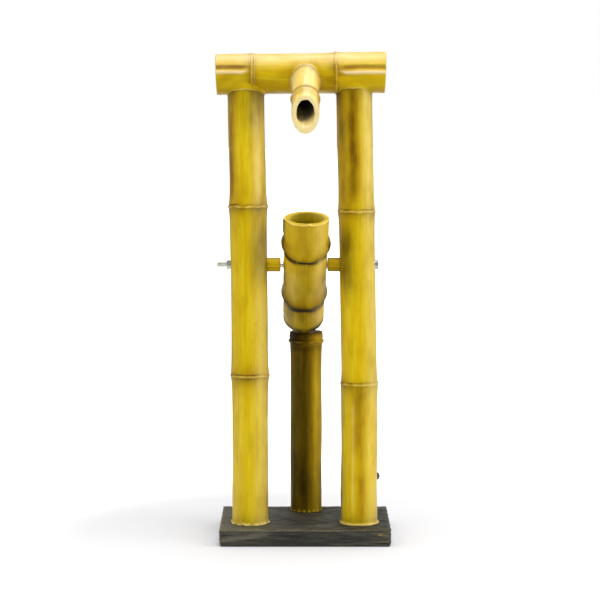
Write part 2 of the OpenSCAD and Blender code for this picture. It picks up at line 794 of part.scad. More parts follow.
module riser_hose() {
    color("whitesmoke") on_slab() swept_hose(
        [for (i = [0 : hose_rings - 1]) riser_point(riser_low_z + (riser_high_z - riser_low_z) * i / (hose_rings - 1))]);
}

module riser_elbow() {
    body = elbow_bend + elbow_body;
    color("gainsboro") translate([right_top_x, post_row_y, channel_z]) rotate([0, 180, 0])
        elbow(hose_d / 2, body, body + elbow_tail, body, body + elbow_tail);
}

module cross_hose() {
    inset = elbow_bend + elbow_body;
    run = right_top_x - spout_x - 2 * inset;
    color("whitesmoke") translate([spout_x + inset, post_row_y, channel_z]) rotate([0, 90, 0]) difference() {
        cylinder(d = hose_d, h = run);
        translate([0, 0, -over]) cylinder(d = hose_bore_d, h = run + 2 * over);
    }
}

module spout_elbow() {
    body = elbow_bend + elbow_body;
    color("gainsboro") on_spout() elbow(hose_d / 2, body, body + elbow_tail, body, spout_face_at);
}

module post_screws() {
    tip = screw_d;
    color(metal_colour) each_screw() translate([0, 0, recess_depth - washer_thickness]) {
        translate([0, 0, -screw_head_height]) cylinder(d = screw_head_d, h = screw_head_height);
        cylinder(d = screw_d, h = screw_length - tip);
        translate([0, 0, screw_length - tip]) cylinder(d1 = screw_d, d2 = screw_d / 4, h = tip);
    }
}

module screw_washers() {
    color(metal_colour) each_screw() translate([0, 0, recess_depth - washer_thickness])
        washer(screw_washer_d, screw_d + 2 * thread_gap);
}

base_slab();
left_post();
right_post();
striker_post();
crossbeam();
spout();
left_spacer();
right_spacer();
pivot_bolt();
pivot_nut();
pivot_washers();
tipping_tube();
pivot_sleeve();
tail_plug();
counterweight();
inlet_elbow();
riser_hose();
riser_elbow();
cross_hose();
spout_elbow();
post_screws();
screw_washers();
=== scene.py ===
"""Looks of a tipping bamboo fountain: cast and painted canes, a slate slab, a plated pivot and a studio.

Every place is in the frame's own axes: +X right, +Y to the back, +Z up, from the middle of the slab's
underside. Fields are millimetres and degrees unless they say otherwise; meshes are metres.
"""
import logging
import math
from dataclasses import dataclass, field
from enum import Enum
from typing import Any

import bpy
import numpy as np
from numpy.typing import NDArray
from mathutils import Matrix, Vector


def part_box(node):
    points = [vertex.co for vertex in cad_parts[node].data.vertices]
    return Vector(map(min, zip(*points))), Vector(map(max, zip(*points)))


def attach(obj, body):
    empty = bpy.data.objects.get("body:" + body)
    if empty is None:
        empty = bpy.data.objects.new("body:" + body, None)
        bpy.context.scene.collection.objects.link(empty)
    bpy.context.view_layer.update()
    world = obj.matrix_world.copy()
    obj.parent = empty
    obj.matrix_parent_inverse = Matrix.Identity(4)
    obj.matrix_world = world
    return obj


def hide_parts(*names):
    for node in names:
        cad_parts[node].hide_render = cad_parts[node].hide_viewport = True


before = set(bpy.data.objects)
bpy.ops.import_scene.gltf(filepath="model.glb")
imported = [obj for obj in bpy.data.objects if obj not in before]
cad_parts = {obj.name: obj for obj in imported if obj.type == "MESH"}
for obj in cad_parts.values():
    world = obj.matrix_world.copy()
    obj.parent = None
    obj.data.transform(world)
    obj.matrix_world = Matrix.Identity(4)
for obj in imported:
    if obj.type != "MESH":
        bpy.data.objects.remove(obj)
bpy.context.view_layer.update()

Array = NDArray[np.float64]
MM = 0.001
FRAME_BODY = "frame"
TUBE_BODY = "tube"
# Heights: the slab's upper face, and the beam's axis over it at X = 0
SLAB_TOP = 21.0
BEAM_RISE = 553.6
# The posts and the beam share one upright plane; the posts' feet stand at these X
POST_ROW_Y = -33.2
LEFT_FOOT_X = -67.8
RIGHT_FOOT_X = 66.8
BEAM_R = 24.6
BEAM_SLOPE = 0.75
# Node types with the settings that several uses share: a smooth step, a mix of colours and mathematics
SMOOTH = ("ShaderNodeMapRange", {"interpolation_type": "SMOOTHSTEP"})
COLOURS = ("ShaderNodeMix", {"data_type": "RGBA"})
MULTIPLY_ADD, MULTIPLY, MAXIMUM = (
    ("ShaderNodeMath", {"operation": kind}) for kind in ("MULTIPLY_ADD", "MULTIPLY", "MAXIMUM"))
LOG = logging.getLogger("fountain")


def linear(hex_colour: str) -> tuple[float, float, float, float]:
    """Turns an sRGB hex colour into linear light.

    Args:
        hex_colour: Six hex digits after a hash.

    Returns:
        Red, green, blue and an alpha of one.
    """
    channels = [int(hex_colour[i:i + 2], 16) / 255 for i in (1, 3, 5)]
    red, green, blue = (c / 12.92 if c <= 0.04045 else ((c + 0.055) / 1.055) ** 2.4 for c in channels)
    return red, green, blue, 1.0


def soft_step(values: Array, low: Array | float, high: Array | float) -> Array:
    """Smooth change from 0 at low to 1 at high: three times the square less twice the cube."""
    t = np.clip((values - low) / (np.asarray(high) - low), 0, 1)
    return t * t * (3 - 2 * t)


def bell(values: Array, width: float) -> Array:
    """One at zero and fading either way: e to the minus square of values over width."""
    return np.exp(-((values / width) ** 2))


def swing(degrees: Array) -> Array:
    """Angles brought into the range from minus to plus half a turn."""
    return (degrees + 180) % 360 - 180


class Tint(Enum):
    """Channels of the paint attribute, each a wash over the body colour: the casting's own marks and wear,
    and painted shade and highlights.
    """

    GLAZE_AND_SHADE = 0
    RUST_AND_SHADE = 1
    OLIVE = 2
    PALE = 3


@dataclass(frozen=True)
class StainAndShading:
    """A soft patch of paint on a cane, such as a streak, a smudge, painted shade, a painted shadow and a
    painted highlight.

    The angle is counted from the cane's front, towards its side vector, and start and end lie along it.
    """

    tint: Tint
    angle: float
    spread: float
    start: float
    end: float
    strength: float
    fade: float = 9.0

    def mask(self, theta: Array, along: Array) -> Array:
        """Strength of the patch at each point: a bell across the angle times a soft step at each end.

        Args:
            theta: Angles from the front.
            along: Distances along the axis.

        Returns:
            A share for each point.
        """
        across = bell(swing(np.degrees(theta) - self.angle), self.spread)
        ends = soft_step(along, self.start - self.fade, self.start + self.fade)
        ends = ends * (1 - soft_step(along, self.end - self.fade, self.end + self.fade))
        return self.strength * across * ends


@dataclass
class Paint:
    """The four washes at each point of a grid."""

    shape: tuple[int, int]
    washes: Array = field(init=False)

    def __post_init__(self) -> None:
        """Starts with bare body colour."""
        self.washes = np.zeros((*self.shape, len(Tint)))

    def add(self, tint: Tint, mask: Array | float) -> None:
        """Lays a wash over what is there: what is left bare is multiplied by one less the mask."""
        bare = 1 - self.washes[..., tint.value]
        self.washes[..., tint.value] = 1 - bare * (1 - np.clip(mask, 0, 1))

    def stain_and_shade(self, stains_and_shading: tuple[StainAndShading, ...], theta: Array, along: Array) -> None:
        """Lays each patch of a list."""
        for one in stains_and_shading:
            self.add(one.tint, one.mask(theta, along))


@dataclass(frozen=True)
class Relief:
    """Uneven surface of a casting: a sum of sine waves through space with seeded directions and phases."""

    seed: int
    lengths: tuple[float, float, float]
    waves: int = 18
    spread: float = 0.55

    def at(self, points: Array) -> Array:
        """Height of the relief at each point.

        Each wave is the sine of the point times a wave vector plus a phase. The vector's parts are drawn
        around a full turn per wave length on each axis, and the sum is scaled to stay mostly within one.

        Args:
            points: Places in millimetres, the last axis holding X, Y and Z.

        Returns:
            One number for each point.
        """
        draw = np.random.default_rng(self.seed)
        turns = 2 * math.pi / np.array(self.lengths)
        total = np.zeros(points.shape[:-1])
        for _ in range(self.waves):
            vector = turns * draw.uniform(1 - self.spread, 1 + self.spread, 3) * draw.choice([-1, 1], 3)
            total += np.sin(points @ vector + draw.uniform(0, 2 * math.pi))
        return total / math.sqrt(self.waves)


def round_wave(theta: Array, seed: int, counts: tuple[int, int], waves: int = 7) -> Array:
    """A wavy line round a cane: a sum of sines with whole numbers of waves, so that it closes on itself.

    Args:
        theta: Angles from the front.
        seed: Start of the random draws.
        counts: Least number of waves round, and one past the most.
        waves: How many sines are added.

    Returns:
        A number for each angle, mostly within one.
    """
    draw = np.random.default_rng(seed)
    total = np.zeros_like(theta)
    for _ in range(waves):
        total += np.sin(draw.integers(*counts) * theta + draw.uniform(0, 2 * math.pi))
    return total / math.sqrt(waves)


@dataclass(frozen=True)
class Axis:
    """A cane's own frame: its origin, the direction along it and the direction of its front.

    The side vector is along crossed with front, reversed where turn is minus one. Bends give the shift of
    the axis along X at some distances along it, straight between them.
    """

    origin: tuple[float, float, float]
    along: tuple[float, float, float]
    front: tuple[float, float, float]
    turn: int = 1
    bend_at: tuple[float, ...] = (0.0,)
    bend_x: tuple[float, ...] = (0.0,)

    def side(self) -> Array:
        """The direction in which angles grow from the front."""
        return self.turn * np.cross(np.array(self.along), np.array(self.front))

    def centre(self, along: Array) -> Array:
        """Places on the axis at distances along it, with its bends.

        Args:
            along: Distances along the axis.

        Returns:
            Places in millimetres.
        """
        line = np.array(self.origin) + along[..., None] * np.array(self.along)
        line[..., 0] += np.interp(along, self.bend_at, self.bend_x)
        return line

    def place(self, along: Array, radius: Array, theta: Array) -> Array:
        """Points round the axis: its line plus radius times cosine of front and sine of side."""
        across = np.cos(theta)[..., None] * np.array(self.front) + np.sin(theta)[..., None] * self.side()
        return self.centre(along) + radius[..., None] * across


def upright(x: float, y: float, z: float, bend_at: tuple[float, ...] = (0.0,),
            bend_x: tuple[float, ...] = (0.0,)) -> Axis:
    """Frame of an upright cane: its front faces the viewer and its angles grow to the right."""
    return Axis((x, y, z), (0, 0, 1), (0, -1, 0), 1, bend_at, bend_x)


def pivot_place() -> Array:
    """Middle of the pivot, taken from the sleeve's box: X of the tube, then Y and Z of the bolt's line."""
    low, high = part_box("pivot_sleeve")
    return np.array([(a + b) / 2 / MM for a, b in zip(low, high)])


def pivot_line() -> Axis:
    """The bolt's line along X: its front faces the viewer and its angles grow upwards."""
    return Axis((0, POST_ROW_Y, float(pivot_place()[2])), (1, 0, 0), (0, -1, 0), -1)


def striker_middle() -> tuple[float, float]:
    """Middle of the back post, in plan, taken from its node's box."""
    low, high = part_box("striker_post")
    return (low.x + high.x) / 2 / MM, (low.y + high.y) / 2 / MM


def feet() -> tuple[tuple[float, float], ...]:
    """Middles of the feet in plan: left post, right post and striker."""
    return (LEFT_FOOT_X, POST_ROW_Y), (RIGHT_FOOT_X, POST_ROW_Y), striker_middle()


def around(count: int) -> Array:
    """Evenly spaced angles round a full turn."""
    return np.arange(count) * 2 * math.pi / count


def turned(profile: Array, columns: int) -> tuple[Array, Array, Array]:
    """Grids of a turned piece: distance along, radius and angle of each point of its profile's rows."""
    theta = np.broadcast_to(around(columns)[None, :], (len(profile), columns))
    return np.repeat(profile[:, :1], columns, 1), np.repeat(profile[:, 1:], columns, 1), theta


def shell(name: str, points: Array, paint: Array | None = None, looped: bool = False,
          crease: float = 38, second_from: int | None = None) -> bpy.types.Object:
    """Makes a closed surface from a grid whose rows run round it.

    Neighbouring rows are joined by quads. The first and last row are closed by a fan to their middle, or
    to each other where looped. Faces are turned outwards by the sign of the volume that they enclose.

    Args:
        name: Name of the piece.
        points: Rows by columns by XYZ, in millimetres.
        paint: Rows by columns by four washes.
        looped: True for a ring, whose last row joins its first.
        crease: Angle in degrees past which an edge is sharp.
        second_from: Row from which the faces take the piece's second material.

    Returns:
        The object, linked to the scene at the origin.
    """
    rows, columns, _ = points.shape
    index = np.arange(rows * columns).reshape(rows, columns)
    low = index if looped else index[:-1]
    high = np.roll(index, -1, 0) if looped else index[1:]
    quads = np.stack([low, np.roll(low, -1, 1), np.roll(high, -1, 1), high], -1).reshape(-1, 4)
    corners = points.reshape(-1, 3)
    washes = np.zeros((len(corners), 4)) if paint is None else paint.reshape(-1, 4)
    fans = np.zeros((0, 3), int)
    if not looped:
        first, last = index[0], index[-1]
        start, end = len(corners), len(corners) + 1
        corners = np.vstack([corners, points[0].mean(0), points[-1].mean(0)])
        washes = np.vstack([washes, washes[first].mean(0), washes[last].mean(0)])
        fans = np.vstack([
            np.stack([np.full(columns, start), np.roll(first, -1), first], -1),
            np.stack([np.full(columns, end), last, np.roll(last, -1)], -1)])
    a, b, c, d = (corners[quads[:, k]] for k in range(4))
    volume = np.einsum("ij,ij->", a, np.cross(b, c)) + np.einsum("ij,ij->", a, np.cross(c, d))
    if len(fans):
        a, b, c = (corners[fans[:, k]] for k in range(3))
        volume += np.einsum("ij,ij->", a, np.cross(b, c))
    if volume < 0:
        quads, fans = quads[:, ::-1], fans[:, ::-1]
    mesh = bpy.data.meshes.new(name)
    mesh.from_pydata((corners * MM).tolist(), [], [*quads.tolist(), *fans.tolist()])
    mesh.shade_smooth()
    mesh.set_sharp_from_angle(angle=math.radians(crease))
    if second_from is not None:
        slots = np.zeros(len(quads) + len(fans), np.int32)
        slots[second_from * columns:len(quads)] = 1
        slots[len(quads) + columns:] = 1
        mesh.polygons.foreach_set("material_index", slots)
    layer = mesh.attributes.new("paint", "FLOAT_COLOR", "POINT")
    layer.data.foreach_set("color", washes.astype(np.float32).ravel())
    piece = bpy.data.objects.new(name, mesh)
    bpy.context.scene.collection.objects.link(piece)
    return piece


def seat(piece: bpy.types.Object, material: bpy.types.Material, body: str, slot: str, *nodes: str) -> None:
    """Dresses a piece, puts it on its body and lets it stand for CAD nodes.

    Args:
        piece: The new piece.
        material: Its finish.
        body: The CAD body that it rides on.
        slot: The record's material slot; not used.
        nodes: The CAD nodes that it replaces.
    """
    piece.data.materials.append(material)
    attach(piece, body)
    if nodes:
        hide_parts(*nodes)
    LOG.info("%s: %d faces on body %s", piece.name, len(piece.data.polygons), body)


def repaint(node: str, material: bpy.types.Material) -> None:
    """Gives a CAD node that stays a new finish.

    Args:
        node: The CAD node's name.
        material: Its finish.
    """
    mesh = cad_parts[node].data
    mesh.materials.clear()
    mesh.materials.append(material)
    LOG.info("%s: kept, dressed as %s", node, material.name)


def add(tree: bpy.types.NodeTree, kind: str, settings: dict[str, Any] | None = None,
        inputs: dict[str | int, Any] | None = None) -> bpy.types.Node:
    """Adds a node with its settings, values and links.

    Args:
        tree: The node tree.
        kind: The node's type name.
        settings: Attributes to set on the node.
        inputs: Values by the socket's name or number; an output socket is linked.

    Returns:
        The node.
    """
    node = tree.nodes.new(kind)
    for key, value in (settings or {}).items():
        setattr(node, key, value)
    for key, value in (inputs or {}).items():
        if isinstance(value, bpy.types.NodeSocket):
            tree.links.new(value, node.inputs[key])
        else:
            node.inputs[key].default_value = value
    return node


def new_material(name: str) -> tuple[bpy.types.Material, bpy.types.NodeTree, bpy.types.Node]:
    """A material with an empty tree and its output node.

    Args:
        name: Name of the material.

    Returns:
        The material, its tree and its output node.
    """
    material = bpy.data.materials.new(name)
    material.use_nodes = True
    tree = material.node_tree
    tree.nodes.clear()
    return material, tree, add(tree, "ShaderNodeOutputMaterial")


def mottle(tree: bpy.types.NodeTree, place: bpy.types.NodeSocket, lengths: tuple[float, float, float],
           detail: float = 3, rough: float = 0.55) -> bpy.types.NodeSocket:
    """A pattern of noise whose lumps have the given lengths in millimetres along each axis.

    Args:
        tree: The node tree.
        place: Socket with places in metres.
        lengths: Size of a lump along X, Y and Z.
        detail: Octaves added.
        rough: Share of each finer octave.

    Returns:
        The factor socket, about 0.5 on average.
    """
    scaled = add(tree, "ShaderNodeMapping", None,
                 {"Vector": place, "Scale": [1 / (length * MM) for length in lengths]})
    made = add(tree, "ShaderNodeTexNoise", None,
               {"Vector": scaled.outputs[0], "Scale": 1.0, "Detail": detail, "Roughness": rough})
    return made.outputs["Fac"]


def brushed(tree: bpy.types.NodeTree, ground: str,
            coats: tuple[tuple[bpy.types.NodeSocket, float, float, float, str], ...]) -> bpy.types.NodeSocket:
    """Brushes coats of colour over a ground colour, one after another.

    A coat's share grows with a smooth step from none where its pattern is low to its full share where
    the pattern is high.

    Args:
        tree: The node tree.
        ground: The first colour, as hex.
        coats: For each coat its pattern, low, high, full share and hex colour.

    Returns:
        The socket of the mixed colour.
    """
    colour = linear(ground)
    for pattern, low, high, full, tone in coats:
        share = add(tree, *SMOOTH, {"Value": pattern, "From Min": low, "From Max": high, "To Max": full})
        colour = add(tree, *COLOURS, {0: share.outputs[0], 6: colour, 7: linear(tone)}).outputs[2]
    return colour


def close(tree: bpy.types.NodeTree, output: bpy.types.Node, height: tuple[bpy.types.NodeSocket, float, float],
          wear: tuple[bpy.types.NodeSocket, float, float], inputs: dict[str, Any]) -> None:
    """Closes a material with its relief, its roughness and its surface.

    Args:
        tree: The node tree.
        output: The material's output node.
        height: The relief's pattern, its strength and its depth in millimetres.
        wear: The pattern of the roughness, then the roughness where it is low and where it is high.
        inputs: The surface's other values and links, by the socket's name.
    """
    pattern, strength, depth = height
    bump = add(tree, "ShaderNodeBump", None, {
        "Strength": strength, "Distance": depth * MM, "Height": pattern})
    pattern, smooth, dull = wear
    rough = add(tree, *SMOOTH, {
        "Value": pattern, "From Min": 0.3, "From Max": 0.7, "To Min": smooth, "To Max": dull})
    surface = add(tree, "ShaderNodeBsdfPrincipled", None, {
        "Normal": bump.outputs[0], "Roughness": rough.outputs[0], **inputs})
    tree.links.new(surface.outputs[0], output.inputs[0])


@dataclass(frozen=True)
class CaneFinish:
    """Cast polyester resin, brushed with yellow paint and lacquered; its hollows are painted brown as shade.

    To the eye it is a satin yellow with fine streaks along the cane, painted shade in corners, pale worn
    edges and painted highlights on lit sides.
    """

    name: str
    body: str = "#d8b702"
    light: str = "#e4c920"
    deep: str = "#b28c00"
    glaze_and_shade: str = "#3a2700"
    rust_and_shade: str = "#9a6a02"
    olive: str = "#6c5800"
    pale: str = "#efd888"
    turn: tuple[float, float, float] = (0.0, 0.0, 0.0)
    roughness: tuple[float, float] = (0.36, 0.52)
    grain: float = 0.9
    bump: float = 0.2
    coat: float = 0.05
    gloss: float = 0.22
    amber: str = "#ffd468"

    def build(self) -> bpy.types.Material:
        """Mixes the streaks, then the washes of the paint attribute, over the body colour.

        Returns:
            The material.
        """
        material, tree, output = new_material(self.name)
        place = add(tree, "ShaderNodeMapping", None, {
            "Vector": add(tree, "ShaderNodeTexCoord").outputs["Object"],
            "Rotation": [math.radians(a) for a in self.turn]}).outputs[0]
        # A brush hair is about a third of a millimetre; the streaks are coarser, so that they show
        hairs = mottle(tree, place, (self.grain, self.grain, 46), 4, 0.65)
        strokes = mottle(tree, place, (6, 6, 90), 5, 0.62)
        cloud = mottle(tree, place, (16, 16, 34), 3)
        speck = mottle(tree, place, (1.6, 1.6, 3.2), 4, 0.7)
        colour = brushed(tree, self.body, (
            (strokes, 0.42, 0.66, 0.8, self.light), (hairs, 0.5, 0.7, 0.36, self.deep),
            (cloud, 0.46, 0.74, 0.4, self.deep), (hairs, 0.48, 0.32, 0.5, self.light),
            (speck, 0.58, 0.75, 0.22, self.deep)))
        paint = add(tree, "ShaderNodeAttribute", {"attribute_name": "paint"})
        parts = add(tree, "ShaderNodeSeparateColor", None, {0: paint.outputs["Color"]})
        ragged = add(tree, *MULTIPLY_ADD, {0: hairs, 1: 0.6, 2: cloud})
        # The washes laid over the streaks are orange-brown, olive, dark brown and pale: they carry the cane's
        # own marks and wear, and also painted shade and painted highlights.
        for tone, wash, low, high in (
                (self.rust_and_shade, parts.outputs[1], 0.62, 1.0), (self.olive, parts.outputs[2], 0.6, 1.05),
                (self.glaze_and_shade, parts.outputs[0], 0.6, 1.05), (self.pale, paint.outputs["Alpha"], 1.0, 0.6)):
            uneven = add(tree, *SMOOTH, {
                "Value": ragged.outputs[0], "From Min": low, "From Max": high, "To Min": 0.78, "To Max": 1.3})
            share = add(tree, "ShaderNodeMath", {"operation": "MULTIPLY", "use_clamp": True},
                        {0: wash, 1: uneven.outputs[0]})
            colour = add(tree, *COLOURS, {0: share.outputs[0], 6: colour, 7: linear(tone)}).outputs[2]
        height = add(tree, *MULTIPLY_ADD, {0: hairs, 1: 0.8, 2: speck})
        close(tree, output, (height.outputs[0], 0.6, self.bump), (cloud, *self.roughness), {
            "Base Color": colour, "IOR": 1.52, "Specular IOR Level": self.gloss,
            "Specular Tint": linear(self.amber), "Coat Weight": self.coat, "Coat Roughness": 0.25})
        return material


@dataclass(frozen=True)
class SlateFinish:
    """Cast resin with a split slate face, painted dark and dry-brushed.

    To the eye it is a matt grey brown with level grain, greenish patches and pale rubbed edges.
    """

    name: str = "slate_resin"
    body: str = "#454134"
    dark: str = "#1e1c14"
    light: str = "#767058"
    green: str = "#4a5140"
    speck: str = "#c59a2c"
    rub: str = "#9a9068"

    def build(self) -> bpy.types.Material:
        """Mixes level grain, patches and grit, then the dark, speck, light and rub of the paint attribute.

        Returns:
            The material.
        """
        material, tree, output = new_material(self.name)
        place = add(tree, "ShaderNodeTexCoord").outputs["Object"]
        grain = mottle(tree, place, (40, 4.5, 1.6), 6, 0.68)
        patch = mottle(tree, place, (38, 17, 8), 4, 0.6)
        grit = mottle(tree, place, (1.6, 1.6, 1.1), 4, 0.7)
        colour = brushed(tree, self.dark, (
            (grain, 0.4, 0.6, 1.0, self.body), (patch, 0.46, 0.66, 0.75, self.green),
            (grain, 0.54, 0.7, 0.85, self.light), (grit, 0.6, 0.75, 0.5, self.light)))
        paint = add(tree, "ShaderNodeAttribute", {"attribute_name": "paint"})
        parts = add(tree, "ShaderNodeSeparateColor", None, {0: paint.outputs["Color"]})
        broken = add(tree, *SMOOTH, {
            "Value": grit, "From Min": 0.35, "From Max": 0.6, "To Min": 0.35, "To Max": 1.0})
        rubbed = add(tree, *MULTIPLY, {0: paint.outputs["Alpha"], 1: broken.outputs[0]})
        for share, tone in ((parts.outputs[0], self.dark), (parts.outputs[1], self.speck),
                            (parts.outputs[2], self.light), (rubbed.outputs[0], self.rub)):
            colour = add(tree, *COLOURS, {0: share, 6: colour, 7: linear(tone)}).outputs[2]
        height = add(tree, *MULTIPLY_ADD, {0: grit, 1: 0.5, 2: grain})
        close(tree, output, (height.outputs[0], 0.7, 0.7), (grit, 0.5, 0.72),
              {"Base Color": colour, "IOR": 1.5})
        return material


@dataclass(frozen=True)
class PlatedSteel:
    """Zinc-plated steel: bright and slightly bluish, with a dull grain and a little tarnish."""

    name: str = "zinc_plated_steel"
    bright: str = "#eceee9"
    dull: str = "#b3b7af"
    metallic: float = 0.82
    roughness: tuple[float, float] = (0.16, 0.4)
    grain: float = 0.8

    def build(self) -> bpy.types.Material:
        """Mixes dull patches into the bright plating and scratches it finely.

        Returns:
            The material.
        """
        material, tree, output = new_material(self.name)
        place = add(tree, "ShaderNodeTexCoord").outputs["Object"]
        cloud = mottle(tree, place, (2.6, 2.6, 2.6), 4, 0.6)
        grain = mottle(tree, place, (self.grain, self.grain, self.grain), 3, 0.6)
        colour = brushed(tree, self.bright, ((cloud, 0.4, 0.7, 1.0, self.dull),))
        close(tree, output, (grain, 0.3, 0.05), (cloud, *self.roughness),
              {"Base Color": colour, "Metallic": self.metallic})
        return material


@dataclass(frozen=True)
class Moulded:
    """A moulded plastic with a faint orange peel, or a clear one where clear is above zero."""

    name: str
    body: str
    shade: str
    roughness: tuple[float, float] = (0.35, 0.5)
    ior: float = 1.5
    clear: float = 0.0
    peel: float = 1.6

    def build(self) -> bpy.types.Material:
        """Mixes the flow marks of moulding into the colour and puts the peel in the bump.

        Returns:
            The material.
        """
        material, tree, output = new_material(self.name)
        place = add(tree, "ShaderNodeTexCoord").outputs["Object"]
        flow = mottle(tree, place, (9, 9, 14), 3)
        peel = mottle(tree, place, (self.peel, self.peel, self.peel), 2)
        colour = brushed(tree, self.body, ((flow, 0.35, 0.7, 1.0, self.shade),))
        close(tree, output, (peel, 0.25, 0.06), (flow, *self.roughness),
              {"Base Color": colour, "IOR": self.ior, "Transmission Weight": self.clear})
        return material


@dataclass(frozen=True)
class NodeRidge:
    """A node's raised line, seen across it: a crest, a hollow beside it and the swelling towards it.

    The lower side is the one with smaller distances along the cane.
    """

    at: float
    crest_d: float
    swell_low: float
    swell_high: float
    reach: float = 15.0
    half: float = 1.25
    hollow: float = 0.5
    hollow_at: float = 2.4
    waver: float = 0.35
    seed: int = 1

    def line(self, theta: Array) -> Array:
        """Distance along the cane of the wavering crest."""
        return self.at + self.waver * round_wave(theta, self.seed, (2, 11))


@dataclass
class Cane:
    """A cast cane: internodes between ridges, built on its axis.

    Attributes:
        axis: The cane's frame.
        diameters: One for each internode.
        ridges: One between each pair of internodes.
        uneven: Height of the casting's slow waves.
        seed: Start of its random draws.
        rub: Share of the pale rubbing on the crests.
    """

    axis: Axis
    diameters: tuple[float, ...]
    ridges: tuple[NodeRidge, ...]
    uneven: float = 0.2
    seed: int = 1
    rub: float = 1.0

    def radius(self, along: Array, theta: Array) -> Array:
        """Radius at each point.

        Half the internode's diameter, plus a swelling that dies away from each ridge, then drawn to the
        crest by a bell across the ridge, less a narrow hollow beside it, plus the casting's unevenness.

        Args:
            along: Distances along the axis.
            theta: Angles from the front.

        Returns:
            Radii in millimetres.
        """
        made = np.full(along.shape, self.diameters[0] / 2)
        for ridge, diameter in zip(self.ridges, self.diameters[1:]):
            made = np.where(along > ridge.line(theta), diameter / 2, made)
        for ridge in self.ridges:
            away = along - ridge.line(theta)
            swell = np.where(away > 0, ridge.swell_high, ridge.swell_low)
            made = made + swell * np.exp(-np.abs(away) / ridge.reach * 1.6)
        for ridge in self.ridges:
            away = along - ridge.line(theta)
            made = made + (ridge.crest_d / 2 - made) * bell(away, ridge.half)
            made = made - ridge.hollow * bell(away - ridge.hollow_at, 0.8)
            made = made - 0.35 * ridge.hollow * bell(away + ridge.hollow_at, 1.0)
        places = self.axis.place(along, made, theta)
        slow = Relief(self.seed, (26, 26, 120)).at(places)
        return made + self.uneven * slow

    def wash_ridges(self, paint: Paint, along: Array, theta: Array, strength: float = 0.8) -> None:
        """Paints shade in the hollows beside each ridge and under it, brown marks fading away from it, and
        rubs its crest pale.

        Args:
            paint: The washes, which are added to.
            along: Distances along the axis.
            theta: Angles from the front.
            strength: Share of every wash.
        """
        for ridge in self.ridges:
            away = along - ridge.line(theta)
            uneven = np.clip(0.66 + 0.36 * round_wave(theta, ridge.seed + 7, (2, 14)), 0, 1)
            patchy = np.clip(0.6 + 0.4 * round_wave(theta, ridge.seed + 9, (1, 6)), 0.1, 1)
            over, under = np.clip(away - 1.5, 0, None), np.clip(-away - 1.3, 0, None)
            # Painted shade in the hollow above the crest
            paint.add(Tint.GLAZE_AND_SHADE, 1.1 * strength * uneven * bell(away - 2.1, 0.95))
            paint.add(Tint.RUST_AND_SHADE, 0.95 * strength * patchy * np.exp(-over / 9.0) * (away > 1.0))
            paint.add(Tint.OLIVE, 0.2 * strength * np.exp(-over / 9.0) * (away > 1.0))
            # Painted shade under the ridge, fading downwards
            paint.add(Tint.GLAZE_AND_SHADE, 0.75 * strength * patchy * np.exp(-under / 4.2) * (away < -0.9))
            paint.add(Tint.OLIVE, 0.38 * strength * np.exp(-under / 11.0) * (away < -0.9))
            paint.add(Tint.RUST_AND_SHADE, 0.45 * strength * np.exp(-under / 12.0) * (away < -0.9))
            paint.add(Tint.RUST_AND_SHADE, 0.5 * strength * bell(away, 2.2))
            rubbed = np.clip(0.42 + 0.4 * round_wave(theta, ridge.seed + 21, (2, 15)), 0, 1)
            paint.add(Tint.PALE, 0.62 * self.rub * rubbed * bell(away + 0.1, 0.9))


